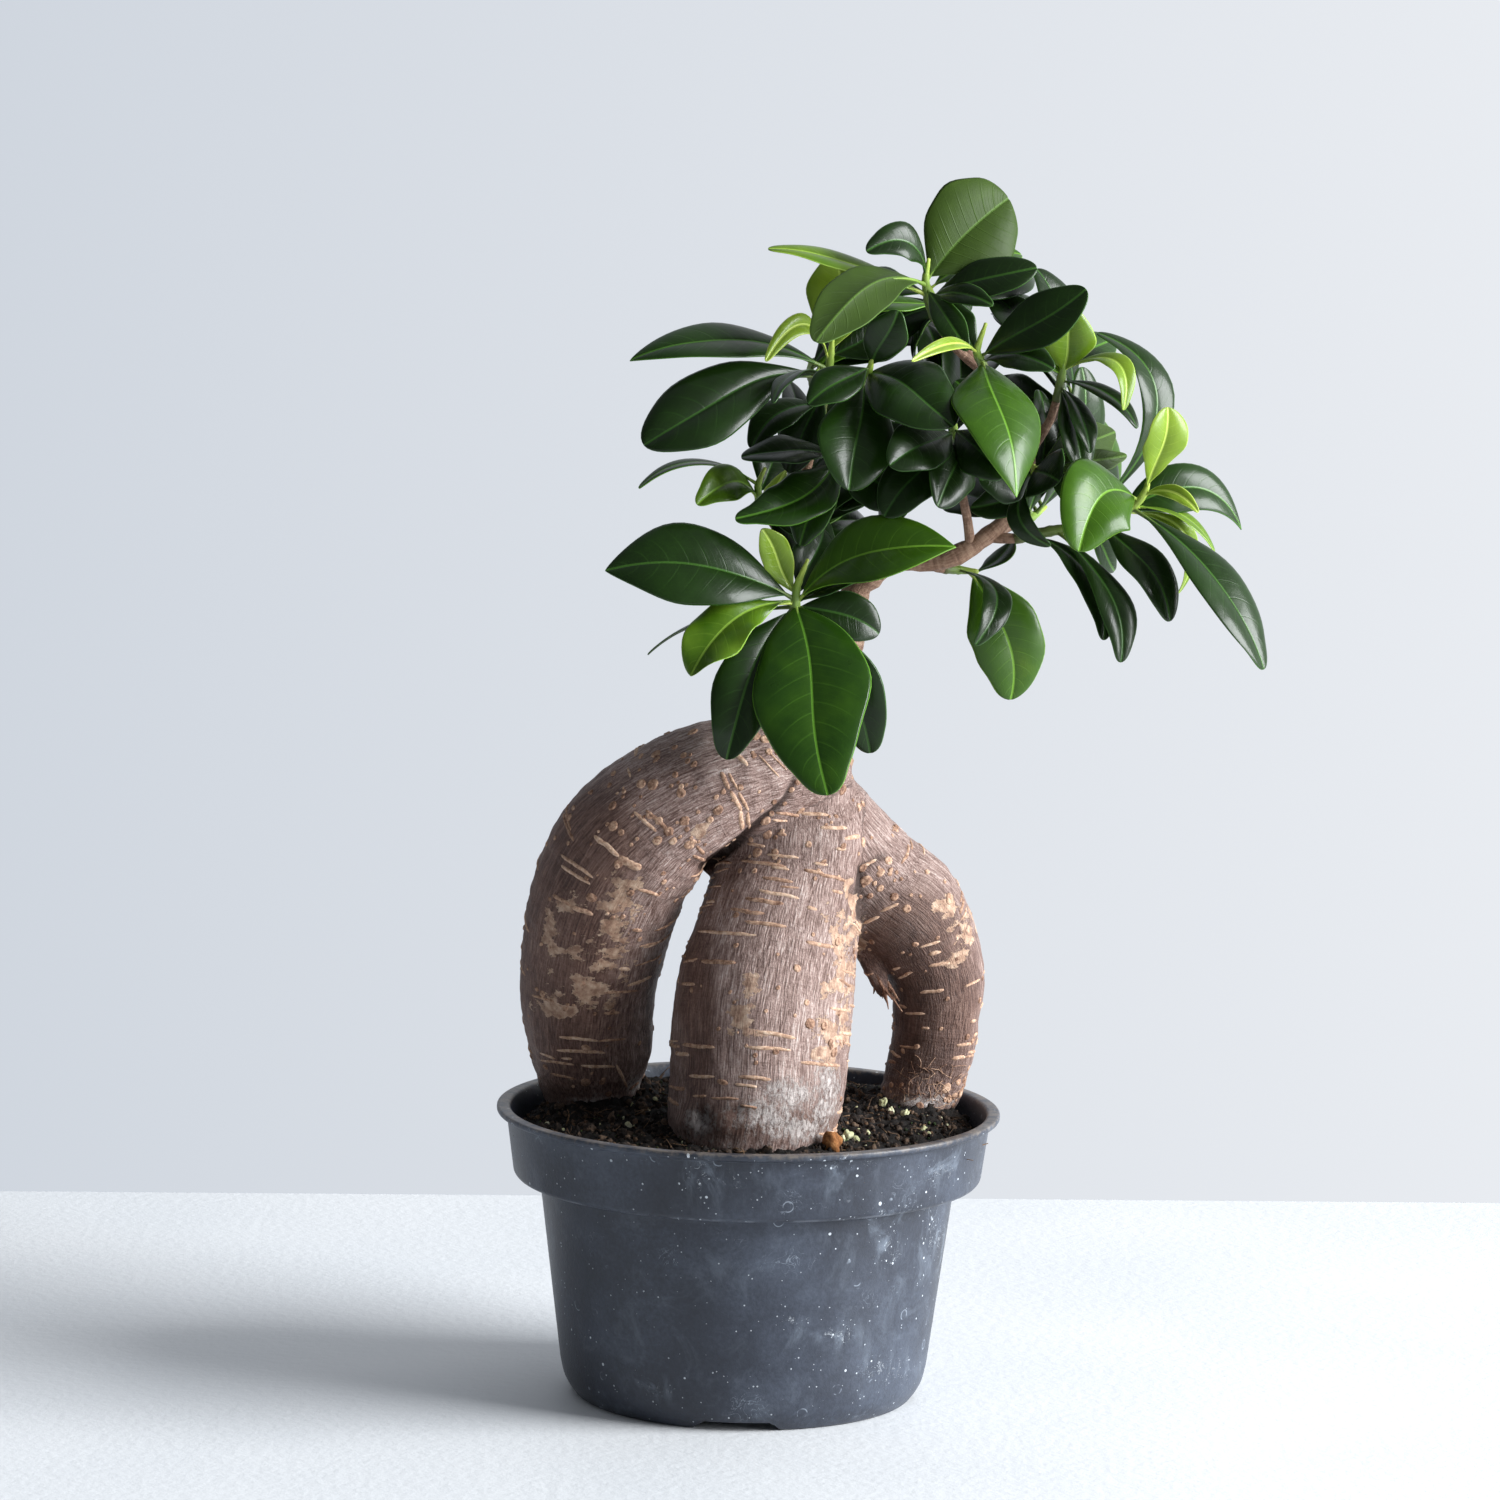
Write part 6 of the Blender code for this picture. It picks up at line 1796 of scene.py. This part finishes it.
def build_soil():
    rng = random.Random(SOIL_SEED)
    body = Body("tone")
    edge = SOIL_TOP[-1][0] + 0.15
    verts, faces = [], []
    steps, rings = SOIL_STEPS, SOIL_RINGS
    verts.append(Vector((0, 0, soil_height(0, 0))))
    for i in range(1, rings + 1):
        radius = edge * i / rings
        for j in range(steps):
            angle = math.tau * j / steps
            x, y = radius * math.cos(angle), radius * math.sin(angle)
            spot = Vector((x, y, 0))
            rough = 1.5 * noise.noise(spot * 0.22) + 1.2 * noise.noise(spot * 0.55)
            rough += 0.5 * noise.noise(spot * 1.2)
            rough *= min((edge - radius) / 2, 1.0)
            verts.append(Vector((x, y, soil_height(x, y) + rough)))
    for j in range(steps):
        k = (j + 1) % steps
        faces.append((0, 1 + j, 1 + k))
        for i in range(rings - 1):
            a, b = 1 + i * steps, 1 + (i + 1) * steps
            faces.append((a + j, b + j, b + k, a + k))
    last = 1 + (rings - 1) * steps
    for radius, z in SOIL_SIDE:
        start = len(verts)
        for j in range(steps):
            angle = math.tau * j / steps
            verts.append(Vector((radius * math.cos(angle), radius * math.sin(angle), z)))
        for j in range(steps):
            k = (j + 1) % steps
            faces.append((last + j, start + j, start + k, last + k))
        last = start
    verts.append(Vector((0, 0, SOIL_SIDE[-1][1])))
    for j in range(steps):
        faces.append((len(verts) - 1, last + (j + 1) % steps, last + j))
    body.add(verts, faces, 0)
    tree = BVHTree.FromPolygons(verts, faces)

    def spread():
        while True:
            radius = 70.0 * math.sqrt(rng.random())
            angle = rng.uniform(0, math.tau)
            x, y = radius * math.cos(angle), radius * math.sin(angle)
            if all(math.hypot(x - a, y - b) > size - 1 for a, b, size in LEG_FEET):
                return x, y

    def lying(x, y, sunk):
        return Vector((x, y, soil_height(x, y) - sunk))

    for count, low, high, slot, level in SOIL_CRUMBS:
        for _ in range(count):
            size = rng.uniform(low, high) * rng.uniform(0.6, 1.0)
            squash = (rng.uniform(0.5, 1.0), rng.uniform(0.4, 0.9))
            centre = lying(*spread(), -0.2 * size)
            body.add(*crumb(centre, size, squash, rng, level), slot, tone=rng.uniform(-1, 1))
    for _ in range(SOIL_FIBRES):
        start = lying(*spread(), -0.4)
        heading = Vector((rng.uniform(-1, 1), rng.uniform(-1, 1), rng.uniform(-0.1, 0.35)))
        heading.normalize()
        bend = Vector((rng.uniform(-1, 1), rng.uniform(-1, 1), rng.uniform(-0.5, 0.2))) * 0.5
        length, radius = rng.uniform(2.5, 8), rng.uniform(0.12, 0.35)
        rows = [(*(start + heading * length * t + bend * length * t * t), radius * (1 - 0.6 * t))
                for t in (0, 0.25, 0.5, 0.75, 1)]
        fibre = tube(rows, 5)
        body.add(fibre[0], fibre[1], 2, tone=rng.uniform(-1, 1))
    for x, y, size, slot in SEEN_GRITS:
        hit = tree.ray_cast(EYE, sight(x, y))[0]
        if hit is not None:
            centre = hit + Vector((0, 0, 0.3 * size))
            body.add(*crumb(centre, size, (0.8, 0.7), rng, 3), slot, tone=rng.uniform(-1, 1))
    looks = [peat_material(name, *colours) for name, *colours in SOIL_LOOKS]
    item = body.build("potting_soil", looks, "soil")


def peat_material(name, *colours):
    net = Net(name)
    space = net.place()
    grain = net.noise(space, 420, 5.0, 0.7)
    shade = net.times_plus(net.attribute("tone"), 0.12, grain)
    colour = net.ramp(shade, *[(at, *colour) for at, colour in zip((0.3, 0.5, 0.7), colours)])
    height = net.plus(net.noise(space, 900, 4.0, 0.7), grain)
    roughness = net.times_plus(grain, 0.2, 0.75)
    return net.finish(colour, roughness, net.bump(height, 0.8), {"Specular IOR Level": 0.3})


def build_table():
    """The white painted table, which ends behind the pot as in the photograph."""
    size = 3.0
    verts, faces = [], []
    slope = TABLE_EDGE_SLOPE
    for x in (-size, size):
        edge = TABLE_EDGE * MM + slope * x
        for y, z in ((-size, 0), (edge - 0.002, 0), (edge - 0.0006, -0.0006), (edge, -0.002),
                     (edge, -0.04), (-size, -0.04)):
            verts.append((x, y, z))
    faces = [(i, (i + 1) % 6, 6 + (i + 1) % 6, 6 + i) for i in range(6)]
    faces += [(0, 1, 2, 3, 4, 5)[::-1], (6, 7, 8, 9, 10, 11)]
    mesh = bpy.data.meshes.new("table")
    mesh.from_pydata(verts, [], faces)
    shape = bmesh.new()
    shape.from_mesh(mesh)
    bmesh.ops.recalc_face_normals(shape, faces=shape.faces)
    shape.to_mesh(mesh)
    shape.free()
    net = Net("table_paint")
    space = net.place()
    roller = net.noise(space, 260, 3.0, 0.6)
    cloud = net.noise(space, 9, 3.0)
    colour = net.ramp(cloud, (0.3, 220, 223, 226), (0.7, 228, 230, 232))
    roughness = net.times_plus(roller, 0.2, 0.5)
    mesh.materials.append(net.finish(colour, roughness, net.bump(roller, 0.25),
                                     {"Specular IOR Level": 0.3}))
    table = bpy.data.objects.new("table", mesh)
    bpy.context.scene.collection.objects.link(table)
    table.location = AXIS


def build_window():
    """The window at the right of the viewer, as one large soft light."""
    light = bpy.data.lights.new("window", "AREA")
    light.shape = "RECTANGLE"
    light.size, light.size_y = WINDOW_SIZE, WINDOW_SIZE
    light.energy = WINDOW_POWER
    light.color = WINDOW_COLOUR
    item = bpy.data.objects.new("window", light)
    item.location = AXIS + Vector(WINDOW_PLACE)
    aim = Vector(WINDOW_AIM) - Vector(WINDOW_PLACE)
    item.rotation_euler = aim.to_track_quat("-Z", "Y").to_euler()
    bpy.context.scene.collection.objects.link(item)


def build_world():
    """Even pale light from all round, stronger from the window side at the right."""
    world = bpy.data.worlds.new("room")
    bpy.context.scene.world = world
    world.use_nodes = True
    nodes, links = world.node_tree.nodes, world.node_tree.links
    way = nodes.new("ShaderNodeTexCoord")
    split = nodes.new("ShaderNodeSeparateXYZ")
    links.new(way.outputs["Generated"], split.inputs[0])
    ramp = nodes.new("ShaderNodeMapRange")
    ramp.inputs["From Min"].default_value = -1.0
    ramp.inputs["From Max"].default_value = 1.0
    links.new(split.outputs[0], ramp.inputs["Value"])
    colours = nodes.new("ShaderNodeValToRGB")
    elements = colours.color_ramp.elements
    elements[0].position, elements[0].color = WORLD_STOPS[0]
    elements[1].position, elements[1].color = WORLD_STOPS[-1]
    for position, colour in WORLD_STOPS[1:-1]:
        elements.new(position).color = colour
    links.new(ramp.outputs[0], colours.inputs[0])
    links.new(colours.outputs[0], nodes["Background"].inputs["Color"])
    depth = nodes.new("ShaderNodeMapRange")
    depth.interpolation_type = "SMOOTHSTEP"
    depth.inputs["From Min"].default_value = -0.5
    depth.inputs["From Max"].default_value = 0.8
    depth.inputs["To Min"].default_value, depth.inputs["To Max"].default_value = ROOM_SHARES
    links.new(split.outputs[1], depth.inputs["Value"])
    links.new(depth.outputs[0], nodes["Background"].inputs["Strength"])


def build_camera():
    camera = bpy.data.cameras.new("camera")
    camera.sensor_width = 36
    camera.lens = 36 * FOCAL / PHOTO_SIZE
    camera.clip_end = 10
    item = bpy.data.objects.new("camera", camera)
    item.location = AXIS + EYE * MM
    item.rotation_euler = GAZE.to_euler()
    bpy.context.scene.collection.objects.link(item)
    bpy.context.scene.camera = item


build_camera()
build_world()
build_table()
build_window()
build_leaves()
build_trunk()
build_pot()
build_soil()
bpy.context.scene.view_settings.view_transform = "Standard"
